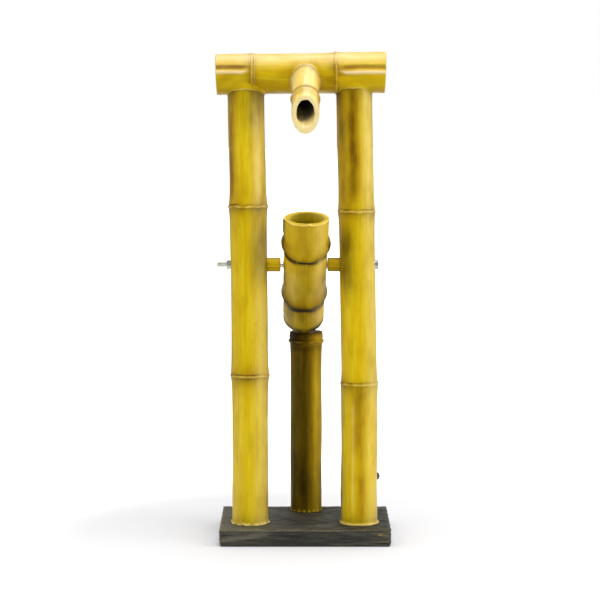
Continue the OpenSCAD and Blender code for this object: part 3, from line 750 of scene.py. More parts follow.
@dataclass
class Post:
    """One of the two tall posts: three internodes that lean a little, a foot lip and a saddle at the top."""

    name: str
    outer: int
    bend_at: tuple[float, ...]
    bend_x: tuple[float, ...]
    diameters: tuple[float, float, float]
    ridges: tuple[NodeRidge, NodeRidge]
    beam_rise: float
    flat_x: float
    lip: float
    lip_height: float
    lip_ragged: float
    stains_and_shading: tuple[StainAndShading, ...]
    seed: int
    seam_fall: float = 19.3
    seam_sag: float = 3.2
    seam_clear: float = 1.8
    washer_seat_r: float = 6.6
    saddle_rows: int = 15
    columns: int = 128
    step: float = 1.15

    def cane(self) -> Cane:
        """The post's cane on its leaning axis."""
        axis = upright(0, POST_ROW_Y, SLAB_TOP, self.bend_at, self.bend_x)
        return Cane(axis, self.diameters, self.ridges, 0.2, self.seed)

    def mesh(self) -> tuple[Array, Array]:
        """Points and washes of the post.

        Rows climb in even steps from the slab to the moulded seam, then follow a quadratic curve round
        the corner between post and beam: from the seam, towards the line where both surfaces meet, to a
        point on the beam a little past it. Where they meet, the height is the beam's less its radius
        times the cosine of the angle whose sine is the post's depth over the beam's radius.
        The foot flares into a lip.

        Returns:
            Points in millimetres and washes, with the saddle's rows last.
        """
        cane = self.cane()
        theta = around(self.columns)[None, :]
        top_r = self.diameters[2] / 2
        angle = np.arcsin(np.clip(top_r * np.cos(theta) / BEAM_R, -1, 1))
        meet = self.beam_rise - BEAM_R * np.cos(angle)
        arc = self.beam_rise - self.seam_fall - self.seam_sag * (1 - np.abs(np.cos(theta))) ** 0.8
        arc = arc + 0.35 * round_wave(theta, self.seed + 5, (3, 15))
        seam = np.minimum(arc, meet - self.seam_clear)
        rows = int(self.beam_rise / self.step)
        along = np.linspace(0, 1, rows)[:, None] * seam
        theta = np.broadcast_to(theta, along.shape)
        paint = Paint(along.shape)
        cane.wash_ridges(paint, along, theta)
        radius = cane.radius(along, theta) + self.foot(paint, along, theta)
        self.wash_sides(paint, seam - along, theta)
        paint.stain_and_shade(self.stains_and_shading, theta, along)
        points = self.spot_face(cane.axis.place(along, radius, theta))
        points[0, :, 2] = SLAB_TOP
        saddle, washes = self.saddle(points[-1], radius[-1:], angle, theta[:1], cane.axis)
        return np.vstack([points, saddle]), np.vstack([paint.washes, washes])

    def foot(self, paint: Paint, along: Array, theta: Array) -> Array:
        """How far the torn lip at the foot stands out: wavy in height and width, pale, with painted shade
        above it and at the very foot.

        Args:
            paint: The washes, which are added to.
            along: Heights over the slab.
            theta: Angles from the front.

        Returns:
            What the lip adds to the radius.
        """
        ragged = round_wave(theta, self.seed + 3, (5, 34), 11)
        lip_top = self.lip_height * (1 + self.lip_ragged * 0.8 * ragged)
        torn = round_wave(theta, self.seed + 4, (4, 26), 9)
        lip = self.lip * np.clip(1 + self.lip_ragged * 0.9 * torn, 0, 1.6)
        on_lip = 1 - soft_step(along, lip_top * 0.55, lip_top + 1.4)
        worn = np.clip(0.3 + lip / self.lip * 0.4, 0, 1)
        paint.add(Tint.PALE, on_lip * bell(along - lip_top * 0.4, 1.7) * worn)
        # Painted shade in the corner above the lip and where the post meets the slab
        paint.add(Tint.GLAZE_AND_SHADE, 0.5 * np.exp(-np.clip(along - lip_top, 0, None) / 3.2) * (1 - on_lip))
        paint.add(Tint.GLAZE_AND_SHADE, 0.8 * bell(along, 0.8))
        return lip * on_lip

    @staticmethod
    def wash_sides(paint: Paint, below: Array, theta: Array) -> None:
        """Paints shade on the post under the beam, by its distance below the seam, darkens its side edges and
        paints a paler sheen on its right side.

        Args:
            paint: The washes, which are added to.
            below: Distances below the seam.
            theta: Angles from the front.
        """
        side = np.sin(theta)
        # Painted shade under the beam, most on the sides
        paint.add(Tint.GLAZE_AND_SHADE, (0.16 + 0.5 * (1 - np.abs(np.cos(theta)) ** 1.5)) * np.exp(-below / 2.0))
        paint.add(Tint.OLIVE, 0.4 * np.exp(-below / 12))
        paint.add(Tint.GLAZE_AND_SHADE, 0.4 * np.exp(-below / 14) * np.abs(side) ** 3)
        # Side edges darker as painted shade, and the right side paler and greyer as a painted sheen
        paint.add(Tint.RUST_AND_SHADE, 0.25 * np.abs(side) ** 12)
        paint.add(Tint.PALE, np.where(side > 0, 0.26, 0.05) * side ** 2)
        paint.add(Tint.OLIVE, np.where(side > 0, 0.22, 0.04) * side ** 2)

    def saddle(self, start: Array, radius: Array, angle: Array, theta: Array,
               axis: Axis) -> tuple[Array, Array]:
        """Rows of the corner between post and beam, from the post's last row to a line on the beam.

        Args:
            start: The post's last row.
            radius: Its radii.
            angle: Angle on the beam where both surfaces meet.
            theta: Angles from the front.
            axis: The post's frame.

        Returns:
            Points in millimetres and washes.
        """
        centre = axis.centre(np.array(self.beam_rise - 20.0))
        rise = SLAB_TOP + self.beam_rise + math.tan(math.radians(BEAM_SLOPE)) * radius * np.sin(theta)
        spread_out = 3.2 + 4.5 * np.cos(theta) ** 2

        def on_beam(x: Array, down: Array, r: float) -> Array:
            """Points on the beam by their X and their angle from straight down."""
            return np.stack([centre[0] + x, centre[1] - r * np.sin(down), rise - r * np.cos(down)], -1)

        corner = on_beam(radius * np.sin(theta), angle, BEAM_R)
        landing = on_beam((radius + spread_out) * np.sin(theta),
                          angle + spread_out / BEAM_R * np.cos(theta), BEAM_R - 0.12)
        t = np.linspace(0, 1, self.saddle_rows)[1:, None, None]
        rows = (1 - t) ** 2 * start[None] + 2 * t * (1 - t) * corner + t ** 2 * landing
        out = np.cos(theta)[..., None] * np.array(axis.front) + np.sin(theta)[..., None] * axis.side()
        rows = rows + 0.5 * soft_step(t, 0, 0.1) * (1 - t) ** 2 * out
        paint = Paint((len(rows), self.columns))
        facing = np.abs(np.cos(theta)) ** 1.5
        t = t[..., 0]
        paint.add(Tint.PALE, 0.35 * facing * bell(t - 0.06, 0.06))
        # Painted shade in the corners beside the post and under the beam
        paint.add(Tint.GLAZE_AND_SHADE, 0.45 * (1 - facing) * bell(t - 0.15, 0.4))
        paint.add(Tint.OLIVE, (0.12 + 0.2 * (1 - facing)) * (1 - t))
        return rows, paint.washes

    def spot_face(self, points: Array) -> Array:
        """Flattens the round seat of the washer: within its circle X goes no further out than the flat.

        Args:
            points: Points of the post, which are changed.

        Returns:
            The same points.
        """
        level = points[..., 2] - pivot_place()[2]
        near = np.hypot(points[..., 1] - POST_ROW_Y, level) < self.washer_seat_r
        outside = self.outer * (points[..., 0] - self.flat_x) > 0
        points[..., 0] = np.where(near & outside, self.flat_x, points[..., 0])
        return points

    def build(self, material: bpy.types.Material, level: bpy.types.Material) -> None:
        """Makes the post, its saddle in the beam's finish, and lets it stand for its CAD node.

        Args:
            material: Finish of the post.
            level: Finish of the beam and of the saddle.
        """
        points, paint = self.mesh()
        piece = shell(f"{self.name}_cast", points, paint, second_from=len(points) - self.saddle_rows)
        seat(piece, material, FRAME_BODY, "cane", self.name)
        piece.data.materials.append(level)


@dataclass
class StrikerPost:
    """The short back post that the tail knocks on: one long internode, a ring and a short cap."""

    diameters: tuple[float, float] = (39.6, 42.6)
    ring_at: float = 217.1
    ring_d: float = 45.6
    stains_and_shading: tuple[StainAndShading, ...] = (
        # Painted shade on the left side
        StainAndShading(Tint.GLAZE_AND_SHADE, -62, 26, 30, 205, 0.36, 25),
        # Painted reflection: a dark band down the front middle
        StainAndShading(Tint.GLAZE_AND_SHADE, -4, 14, 0, 212, 0.44, 12),
        # Painted shade low on the front and on its left
        StainAndShading(Tint.GLAZE_AND_SHADE, -8, 14, 0, 60, 0.3, 20),
        StainAndShading(Tint.GLAZE_AND_SHADE, -48, 26, -10, 80, 0.5, 26),
        StainAndShading(Tint.GLAZE_AND_SHADE, -38, 6, 60, 210, 0.16, 20),
        # Painted shade: olive on the left of the front
        StainAndShading(Tint.OLIVE, -25, 22, 20, 200, 0.5, 20),
        # Painted sheen and reflections: pale bands down the right side and low on the right
        StainAndShading(Tint.PALE, 40, 18, 60, 208, 0.75, 22),
        StainAndShading(Tint.PALE, 72, 14, 60, 214, 0.6, 22),
        StainAndShading(Tint.PALE, 38, 20, -20, 70, 0.42, 22),
        # Painted shadow of the tube's tail on the left of the ring and cap
        StainAndShading(Tint.GLAZE_AND_SHADE, -60, 52, 214, 240, 0.92, 3),
        StainAndShading(Tint.OLIVE, -5, 26, 217, 240, 0.6, 3),
        # Painted highlight on the right of the ring
        StainAndShading(Tint.PALE, 48, 26, 216, 226, 0.5, 3),
        # Painted shadow of the tail on the cap's top
        StainAndShading(Tint.GLAZE_AND_SHADE, -60, 84, 225, 240, 0.95, 3),
        StainAndShading(Tint.GLAZE_AND_SHADE, 60, 60, 227, 240, 0.5, 3),
        StainAndShading(Tint.GLAZE_AND_SHADE, 180, 60, 0, 229, 0.3, 20),
    )
    columns: int = 120
    step: float = 1.2

    def build(self, material: bpy.types.Material) -> None:
        """Builds rows up the side and across the cap's top, each a radius on the post's axis.

        Args:
            material: Finish of the post.
        """
        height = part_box("striker_post")[1].z / MM - SLAB_TOP
        ridge = NodeRidge(at=self.ring_at, crest_d=self.ring_d, swell_low=1.6, swell_high=0.0, reach=10.0,
                          half=1.7, hollow=0.5, hollow_at=3.2, waver=0.5, seed=41)
        cane = Cane(upright(*striker_middle(), SLAB_TOP), self.diameters, (ridge,), 0.22, 44, 0.6)
        theta = around(self.columns)[None, :]
        rise = np.linspace(0, height - 0.9, int(height / self.step))[:, None]
        top = np.array([0.35, 0.0, 0, 0, 0, 0])[:, None]
        along = np.broadcast_to(np.vstack([rise, height - top]), (len(rise) + len(top), self.columns))
        theta = np.broadcast_to(theta, along.shape)
        radius = cane.radius(along, theta)
        inwards = np.array([0.985, 0.955, 0.8, 0.55, 0.3, 0.1])[:, None]
        radius = np.vstack([radius[:len(rise)], radius[len(rise):] * inwards])
        radius = radius * (1 - 0.035 * soft_step(along, self.ring_at + 6, height))
        along = along.copy()
        along[len(rise) + 2:] -= 0.25 + 0.2 * round_wave(theta[:4], 47, (3, 9))
        foot = round_wave(theta, 45, (5, 30), 9)
        lip = 1 - soft_step(along, 1.2 + 0.8 * foot, 3.2 + 0.8 * foot)
        radius = radius + 0.8 * np.clip(0.7 + 0.5 * foot, 0, 1.4) * lip
        paint = Paint(along.shape)
        cane.wash_ridges(paint, along, theta, 0.75)
        paint.add(Tint.PALE, 0.9 * lip * bell(along - 1.4, 1.2) * np.clip(0.3 + 0.7 * foot, 0, 1))
        below = cane.ridges[0].line(theta) - 3.4 - along + 0.6 * round_wave(theta, 46, (9, 30))
        # Painted highlight: a pale line under the ring, mostly on the right
        paint.add(Tint.PALE, 0.34 * bell(below, 0.7) * soft_step(np.sin(theta), -0.4, 0.6))
        # Painted shade under the ring and on the cap's top face
        paint.add(Tint.GLAZE_AND_SHADE, 0.5 * bell(below - 5, 4.0))
        paint.add(Tint.GLAZE_AND_SHADE, 0.5 * soft_step(along, height - 0.5, height))
        paint.stain_and_shade(self.stains_and_shading, theta, along)
        piece = shell("striker_post_cast", cane.axis.place(along, radius, theta), paint.washes)
        seat(piece, material, FRAME_BODY, "aged_cane", "striker_post")


@dataclass
class Crossbeam:
    """The level cane on top: three internodes, open hollow ends and a long dent in each end internode."""

    length: float = 207.8
    left_reach: float = 109.0
    diameters: tuple[float, float, float] = (49.6, 48.7, 50.0)
    end_r: float = 24.7
    hollow_d: float = 37.0
    hollow_depth: float = 12.0
    edge: float = 1.2
    dent_taper: float = 14.0
    dent_span: float = 23.0
    dent_depth: float = 1.9
    columns: int = 152
    step: float = 1.1

    def axis(self) -> Axis:
        """The beam's frame from its left end: the front faces the viewer and angles grow upwards.

        Returns:
            The frame.
        """
        tilt = math.radians(BEAM_SLOPE)
        along = (math.cos(tilt), 0.0, math.sin(tilt))
        start = (-self.left_reach * along[0], POST_ROW_Y, SLAB_TOP + BEAM_RISE - self.left_reach * along[2])
        return Axis(start, along, (0, -1, 0), -1)

    def dent(self, along: Array, theta: Array, start: float, end: float,
             top: float) -> tuple[Array, Array, Array]:
        """Depth of one long dent, its upper band of painted shade and the lip under it, which takes a painted
        highlight.

        Across the dent the depth rises at once under its upper edge and then falls away evenly to the
        lower lip; along it the dent narrows to a point at the end beside the node.

        Args:
            along: Distances along the axis.
            theta: Angles from the front.
            start: Where the dent starts along the beam.
            end: Where it ends.
            top: Angle of its upper edge in degrees.

        Returns:
            Depth, dark band and lip, each a share for every point.
        """
        degrees = swing(np.degrees(theta))
        taper = soft_step(along, start, start + self.dent_taper)
        taper = taper * (1 - soft_step(along, end - self.dent_taper, end))
        upper = top + 0.6 * np.sin(along / 9)
        lower = upper - self.dent_span * (0.74 + 0.26 * taper)
        across = (upper - degrees) / np.maximum(upper - lower, 1)
        depth = soft_step(across, -0.06, 0.3) * (1 - soft_step(across, 0.3, 1.0)) * taper
        band = soft_step(across, -0.08, 0.06) * (1 - soft_step(across, 0.3, 0.75)) * taper
        lip = bell(across - 0.9, 0.2) * taper
        return depth, band, lip

    def end(self) -> Array:
        """Distance along and radius of the rows from the left hollow's floor out over the end's face.

        Returns:
            A pair for each row.
        """
        hollow, depth, rim = self.hollow_d / 2, self.hollow_depth, self.end_r
        floor = [(depth, 0.35 * hollow), (depth, 0.7 * hollow), (depth, hollow - 1), (depth - 1, hollow)]
        wall = [(s, hollow) for s in np.linspace(depth - 2, 0.5, 9)]
        face = [(0.0, hollow + 0.5), (0.0, (hollow + rim) / 2), (0.0, rim - self.edge), (0.25, rim - 0.4)]
        return np.array([*floor, *wall, *face])

    def build(self, material: bpy.types.Material) -> None:
        """Rows go from the left hollow's floor out over the end, along the beam and into the right hollow.

        Args:
            material: Finish of the beam.
        """
        ridges = (NodeRidge(at=44.3, crest_d=52.6, swell_low=0.5, swell_high=0.5, reach=14,
                            half=0.9, hollow=0.55, hollow_at=1.7, waver=0.25, seed=61),
                  NodeRidge(at=146.5, crest_d=53.4, swell_low=0.6, swell_high=0.6, reach=16,
                            half=1.5, hollow=0.3, hollow_at=2.4, waver=0.3, seed=63))
        cane = Cane(self.axis(), self.diameters, ridges, 0.16, 60, 0.5)
        start = self.end()
        middle = np.linspace(self.edge, self.length - self.edge, int(self.length / self.step))
        along = np.concatenate([start[:, 0], middle, self.length - start[::-1, 0]])[:, None]
        theta = around(self.columns)[None, :]
        along, theta = (np.array(a) for a in np.broadcast_arrays(along, theta))
        radius = cane.radius(along, theta)
        count = len(start)
        radius[:count] = start[:, 1][:, None]
        radius[-count:] = start[::-1, 1][:, None]
        outside = np.zeros_like(radius)
        outside[count:-count] = 1
        paint = Paint(along.shape)
        cane.wash_ridges(paint, along, theta, 0.5)
        for first, last, top, dark in ((-20, 44, 26.5, 0.6), (146.5, 235, 21.5, 0.3)):
            depth, band, lip = self.dent(along, theta, first, last, top)
            radius -= outside * (self.dent_depth * depth - 0.3 * lip)
            # Painted shade on the dent's upper wall, which faces down, and a painted highlight on its lip,
            # which faces up
            paint.add(Tint.RUST_AND_SHADE, outside * (dark + 0.2) * band)
            paint.add(Tint.GLAZE_AND_SHADE, outside * 0.2 * dark * band)
            paint.add(Tint.PALE, outside * 1.1 * lip)
        past_ridge = along - ridges[0].line(theta)
        second = bell(past_ridge - 3.0, 0.8)
        radius += outside * 0.6 * second
        paint.add(Tint.RUST_AND_SHADE, outside * 0.5 * bell(past_ridge - 4.6, 1.2))
        paint.add(Tint.RUST_AND_SHADE, outside * 0.4 * bell(past_ridge + 2.6, 1.6))
        paint.add(Tint.PALE, outside * 0.25 * second)
        places = cane.axis.place(along, radius, theta)
        cloudy = np.clip(0.7 + 0.5 * Relief(66, (46, 30, 22)).at(places), 0, 1.4)
        self.wash_body(paint, along, theta, outside, cloudy)
        hollow = self.hollow_d / 2
        # Painted shade inside the hollow ends
        paint.add(Tint.GLAZE_AND_SHADE, (1 - outside) * 0.72 * soft_step(radius, hollow + 0.6, hollow - 0.4))
        paint.add(Tint.PALE, (1 - outside) * 0.4 * soft_step(radius, hollow + 0.4, hollow + 2))
        self.wash_spout(paint, along, theta, outside)
        points = cane.axis.place(self.lean(along, theta), radius, theta)
        seat(shell("crossbeam_cast", points, paint.washes), material, FRAME_BODY, "cane", "crossbeam")

    @staticmethod
    def wash_body(paint: Paint, along: Array, theta: Array, outside: Array, cloudy: Array) -> None:
        """Paints a pale highlight on the beam's upper side and shade on its lower one, and browns the patches
        beside its nodes and end.

        Args:
            paint: The washes, which are added to.
            along: Distances along the axis.
            theta: Angles from the front.
            outside: One on the beam's skin.
            cloudy: Uneven share of the brown.
        """
        degrees = swing(np.degrees(theta))
        beside = np.exp(-np.abs(along - 50) / 12) + np.exp(-np.abs(along - 150) / 12) + np.exp(-along / 16)
        # Painted highlight on the upper side and painted shade on the underside
        paint.add(Tint.PALE, outside * 0.62 * bell(degrees - 56, 26))
        paint.add(Tint.OLIVE, outside * 0.5 * soft_step(-degrees, 25, 75) * (np.abs(degrees) < 140))
        paint.add(Tint.OLIVE, outside * 0.12 * cloudy * bell(degrees + 12, 34))
        paint.add(Tint.RUST_AND_SHADE, outside * 0.3 * cloudy * bell(degrees + 20, 30) * beside)

    def lean(self, along: Array, theta: Array) -> Array:
        """Distance along the beam with its ends sawn a little out of square: their undersides fall back.

        Args:
            along: Distances along the axis.
            theta: Angles from the front.

        Returns:
            The leaned distances.
        """
        low = 0.5 - 0.5 * np.sin(theta)
        near_left = np.clip(1 - along / 20, 0, 1)
        near_right = np.clip(1 - (self.length - along) / 20, 0, 1)
        return along + 1.2 * low * near_left - 2.1 * low * near_right

    def wash_spout(self, paint: Paint, along: Array, theta: Array, outside: Array) -> None:
        """Paints shade into the corner round the spout's root, most of all beside and under it.

        Args:
            paint: The washes, which are added to.
            along: Distances along the axis.
            theta: Angles from the front.
            outside: One on the beam's skin.
        """
        across = along - self.left_reach - 0.2
        level = BEAM_R * np.sin(theta)
        arch = np.hypot(across, (level - 2) * 1.15) - 17.6
        front = soft_step(np.cos(theta), 0.1, 0.4)
        paint.add(Tint.RUST_AND_SHADE, outside * front * 0.3 * np.exp(-np.abs(arch) / 2.5))
        paint.add(Tint.GLAZE_AND_SHADE, outside * front * 0.45 * np.exp(-np.abs(arch) / 3) * soft_step(-level, -2, 10))


@dataclass
class Spout:
    """The slanted spout: a short cane with one ridge, cut steeply and bored."""

    x: float = 0.2
    dip: float = 40.0
    rise: float = 580.6
    node_at: float = 57.8
    cut_at: float = 85.7
    cut_angle: float = 44.2
    outer_d: float = 33.2
    bore_d: float = 21.8
    bore_from: float = 36.0
    start_at: float = 14.0
    straight_to: float = 64.0
    straight_share: float = 0.62
    beam_skin_r: float = 24.4
    columns: int = 112

    def axis(self) -> Axis:
        """The spout's frame: along points down to the viewer, the front is its upper side.

        Returns:
            The frame.
        """
        a = math.radians(self.dip)
        return Axis((self.x, POST_ROW_Y, self.rise), (0, -math.cos(a), -math.sin(a)),
                    (0, -math.sin(a), math.cos(a)), -1)

    def cut(self, radius: Array, theta: Array) -> Array:
        """Distance along the axis at which the sloping cut meets a radius: less where the side is upper."""
        return self.cut_at - radius * np.cos(theta) * math.tan(math.radians(self.cut_angle))

    def skin(self, theta: Array) -> tuple[Array, Array]:
        """Rows up the outside: level ones past the ridge, then ones that turn into the cut's slope.

        Args:
            theta: Angles of one row.

        Returns:
            Points in millimetres and washes.
        """
        ridge = NodeRidge(self.node_at, crest_d=36.4, swell_low=0.0, swell_high=0.0, reach=6,
                          half=2.4, hollow=0.3, hollow_at=-4.4, waver=0.2, seed=71)
        cane = Cane(self.axis(), (self.outer_d, self.outer_d), (ridge,), 0.12, 70)
        share = np.linspace(0, 1, 78)[:, None]
        level = np.clip(share / self.straight_share, 0, 1)
        to_cut = np.clip((share - self.straight_share) / (1 - self.straight_share), 0, 1)
        climb = self.start_at + (self.straight_to - self.start_at) * level
        along = climb + (self.cut(np.array(self.outer_d / 2), theta) - 0.8 - self.straight_to) * to_cut
        theta = np.broadcast_to(theta, along.shape)
        radius = cane.radius(along, theta)
        points = cane.axis.place(along, radius, theta)
        from_beam = np.hypot(points[..., 1] - POST_ROW_Y, points[..., 2] - (SLAB_TOP + BEAM_RISE))
        from_beam = from_beam - self.beam_skin_r
        radius = radius + 3.0 * np.exp(-np.clip(from_beam, 0, None) / 3.4)
        paint = Paint(along.shape)
        away = along - self.node_at
        # Brown around the hollow beside the ridge, with painted shade in the hollow
        paint.add(Tint.RUST_AND_SHADE, 0.8 * bell(away + 5.2, 2.8) * (0.75 + 0.25 * round_wave(theta, 73, (2, 9))))
        paint.add(Tint.GLAZE_AND_SHADE, 0.4 * bell(away + 4.4, 1.2))
        paint.add(Tint.RUST_AND_SHADE, 0.3 * bell(away - 5.5, 2.0))
        # Painted shade in the corner where the spout meets the beam
        paint.add(Tint.RUST_AND_SHADE, 0.35 * np.exp(-np.clip(from_beam - 1, 0, None) / 3.0))
        paint.add(Tint.GLAZE_AND_SHADE, 0.35 * bell(from_beam - 0.4, 1.0))
        paint.add(Tint.RUST_AND_SHADE, 0.22 * bell(away, 3.0))
        # Painted shade on the sides
        paint.add(Tint.RUST_AND_SHADE, 0.5 * np.abs(np.sin(theta)) ** 5)
        return cane.axis.place(along, radius, theta), paint.washes

    def mouth(self, theta: Array, rows: list[Array], washes: list[Array]) -> None:
        """Adds the rim and the bore: rim rows lie on the cut, bore rows slide from it to a level floor.

        Args:
            theta: Angles of one row.
            rows: Rows of points, which are added to.
            washes: Their washes, which are added to.
        """
        axis = self.axis()
        outer, inner = self.outer_d / 2, self.bore_d / 2
        wobble = 0.16 * round_wave(theta, 75, (3, 11))
        raised = 1.5 * np.clip(np.cos(theta), 0, 1) ** 2
        for r, down in ((outer - 0.25, 0.2), (outer - 0.9, 0.0), (0.5 * (outer + inner), 0.12),
                        (inner + 0.7, 0.0), (inner + 0.15, 0.25)):
            radius = r + wobble + raised * (outer - r) / (outer - inner)
            rows.append(axis.place(self.cut(radius, theta) - down, radius, theta))
            band = Paint(theta.shape)
            band.add(Tint.PALE, 0.55)
            washes.append(band.washes)
        # Painted light in the bore: its lower side, which the light reaches, is pale near the rim, and
        # painted shade darkens the bore with depth, sooner on its upper side
        lower = (0.5 - 0.5 * np.cos(theta + math.radians(44))) ** 1.6
        for t in np.linspace(0.03, 1, 40):
            radius = inner + wobble * (1 - t) + raised * (1 - t) ** 3
            along = self.cut(radius, theta) * (1 - t) + self.bore_from * t
            rows.append(axis.place(along, radius, theta))
            deep = self.cut(radius, theta) - along
            band = Paint(theta.shape)
            band.add(Tint.PALE, 0.55 * lower * np.exp(-deep / (2 + 16 * lower)))
            band.add(Tint.RUST_AND_SHADE, 0.5 * bell(deep - 0.8, 0.7) + 0.6 * soft_step(deep, 4 * lower, 5 + 9 * lower))
            band.add(Tint.GLAZE_AND_SHADE, 1.3 * soft_step(deep, 0.3 + 10 * lower, 2.5 + 19 * lower))
            washes.append(band.washes)
        for inward in (0.66, 0.33):
            radius = np.full(theta.shape, inner * inward)
            rows.append(axis.place(np.full(theta.shape, self.bore_from), radius, theta))
            washes.append(washes[-1])

    def build(self, material: bpy.types.Material) -> None:
        """Rows go up the outside to the cut, over its rim and back down the bore.

        Args:
            material: Finish of the spout.
        """
        theta = around(self.columns)[None, :]
        rows, washes = ([made] for made in self.skin(theta))
        self.mouth(theta, rows, washes)
        seat(shell("spout_cast", np.vstack(rows), np.vstack(washes)), material, FRAME_BODY, "cane", "spout")


@dataclass
class TippingTube:
    """The tube that fills and tips: a cup above its middle wall, a hollow tail with a plug below."""

    tilt: float = 40.0
    drop: float = 1.1
    skew: float = 1.1
    mouth_at: float = 97.0
    cut_angle: float = 39.8
    tail_at: float = 110.7
    high_node: float = 46.2
    high_crest_r: float = 29.6
    low_node: float = 55.6
    low_crest_r: float = 28.9
    straight_to: float = 62.0
    drip_angle: float = 5.0
    drip_length: float = 2.5
    mouth_d: float = 53.8
    waist_d: float = 52.8
    tail_d: float = 51.8
    cup_d: float = 43.2
    cup_floor: float = 11.0
    cup_round: float = 6.0
    tail_bore_d: float = 40.0
    stains_and_shading: tuple[StainAndShading, ...] = (
        # Painted reflection: a dark olive middle down the tail
        StainAndShading(Tint.OLIVE, 0, 17, -104, -50, 0.62, 8),
        StainAndShading(Tint.OLIVE, -6, 26, -50, 34, 0.42, 14),
        StainAndShading(Tint.OLIVE, 0, 12, -50, 34, 0.1, 14),
        # Painted reflection: olive right of the tail's middle
        StainAndShading(Tint.OLIVE, 26, 24, -112, -58, 0.4, 8),
        # Painted shade down the left edges of the mouth section and the middle
        StainAndShading(Tint.GLAZE_AND_SHADE, -84, 10, 60, 140, 1.0, 12),
        StainAndShading(Tint.GLAZE_AND_SHADE, -72, 13, -46, 12, 0.35, 12),
        StainAndShading(Tint.GLAZE_AND_SHADE, 76, 12, -52, -30, 0.45, 8),
        # Painted shade on the left beside the upper node
        StainAndShading(Tint.GLAZE_AND_SHADE, -80, 14, 44, 66, 0.5, 6),
        # Painted shade on the tail's left side
        StainAndShading(Tint.OLIVE, -46, 28, -112, -52, 0.72, 8),
        StainAndShading(Tint.GLAZE_AND_SHADE, -62, 20, -112, -60, 0.35, 8),
        # Painted reflections and sheen: pale bands down both sides
        StainAndShading(Tint.PALE, 44, 15, -104, -58, 0.28, 8),
        StainAndShading(Tint.PALE, 44, 18, -44, 40, 0.46, 14),
        StainAndShading(Tint.PALE, -34, 14, -44, 10, 0.24, 14),
        StainAndShading(Tint.PALE, 40, 20, 56, 120, 0.3, 14),
        StainAndShading(Tint.PALE, -60, 16, -104, -60, 0.3, 10),
        StainAndShading(Tint.RUST_AND_SHADE, -6, 26, 54, 118, 0.36, 14),
        StainAndShading(Tint.RUST_AND_SHADE, -64, 18, 44, 66, 0.6, 8),
        StainAndShading(Tint.RUST_AND_SHADE, 72, 18, 44, 66, 0.6, 8),
        StainAndShading(Tint.GLAZE_AND_SHADE, 180, 50, -104, 60, 0.16, 20),
    )
    columns: int = 144
    rim_rows: int = 5
    step: float = 1.15

    def axis(self) -> Axis:
        """The tube's frame from the pivot to the mouth: its front is the lower side that the viewer sees.

        Returns:
            The frame.
        """
        a, k = math.radians(self.tilt), math.radians(self.skew)
        front = (0, -math.sin(a), -math.cos(a))
        origin = pivot_place() + self.drop * np.array(front)
        along = (math.sin(k), -math.cos(a) * math.cos(k), math.sin(a) * math.cos(k))
        return Axis(tuple(origin), along, front, 1)

    def cut(self, radius: Array, theta: Array) -> Array:
        """Distance along the axis of the sloping mouth, longer on the lower side, with a small drip point.

        Args:
            radius: Distances from the axis.
            theta: Angles from the front.

        Returns:
            Distances along the axis.
        """
        slope = math.tan(math.radians(self.cut_angle))
        aside = np.abs(swing(np.degrees(theta) - self.drip_angle))
        drip = self.drip_length * (np.exp(-aside / 5) - 1) * soft_step(radius, 23.5, 26)
        drip = drip * soft_step(np.cos(theta), 0.3, 0.9)
        level = self.mouth_at + radius * np.cos(theta) * slope + drip
        return level + radius * np.sin(theta) * math.sin(math.radians(self.skew))

    def nodes(self) -> tuple[tuple[float, float, int], ...]:
        """Place along the tube, crest radius and seed of both node ridges."""
        return (-self.low_node, self.low_crest_r, 81), (self.high_node, self.high_crest_r, 82)

    def outline(self, along: Array, theta: Array) -> Array:
        """Outer radius: each section flares into its lower end, then steps back over a dark hollow.

        Args:
            along: Distances along the axis.
            theta: Angles from the front.

        Returns:
            Radii in millimetres.
        """
        made = np.where(along < -self.low_node, self.tail_d / 2, self.waist_d / 2)
        made = np.where(along > self.high_node, self.mouth_d / 2, made)
        for at, crest, seed in self.nodes():
            line = at + 0.3 * round_wave(theta, seed, (2, 9))
            away = along - line
            swell = (crest - self.waist_d / 2) * np.exp(-np.clip(away - 0.8, 0, None) / 4.2)
            bulge = 0.7 * bell(away - 7, 5.0)
            seam = 1.5 * bell(swing(np.degrees(theta)) + 88, 9) * soft_step(along, self.straight_to, 74)
            made = np.where(away > 0, made + swell + bulge + 0.5 * seam, made)
            made = made - 1.1 * bell(away + 0.7, 0.75)
            made = made + 0.55 * bell(away + 3.0, 1.3)
        return made

    def tail(self) -> Array:
        """Distance along and radius of the rows from the middle wall down the tail's bore to its rim.

        Returns:
            A pair for each row.
        """
        bore, wall, end, outer = self.tail_bore_d / 2, -self.cup_floor, self.tail_at, self.tail_d / 2
        rows = [(wall, 0.4 * bore), (wall, 0.8 * bore), (wall, bore)]
        rows += [(s, bore) for s in np.linspace(wall - 4, 2 - end, 26)]
        rows += [(0.5 - end, bore + 0.3), (-end, bore + 1.0), (0.15 - end, bore + 3.2),
                 (0.1 - end, outer - 1.6), (0.5 - end, outer - 0.6)]
        return np.array(rows)

    def wash(self, along: Array, theta: Array, edge: Array) -> Array:
        """Washes of the tube's skin: painted shade under and beside each lip and at the tail's end, streaks
        at its nodes, a painted highlight along the rim's edge and the listed patches.

        Args:
            along: Distances along the axis.
            theta: Angles from the front.
            edge: Where the skin ends at the mouth, for each column.

        Returns:
            The four washes of each point.
        """
        paint = Paint(along.shape)
        sides = np.abs(np.sin(theta))
        for at, _, seed in self.nodes():
            away = along - (at + 0.3 * round_wave(theta, seed, (2, 9)))
            past, over = np.clip(away, 0, None), away > 0
            streaks = np.clip(0.8 + 0.25 * round_wave(theta, seed + 6, (2, 14)), 0.3, 1)
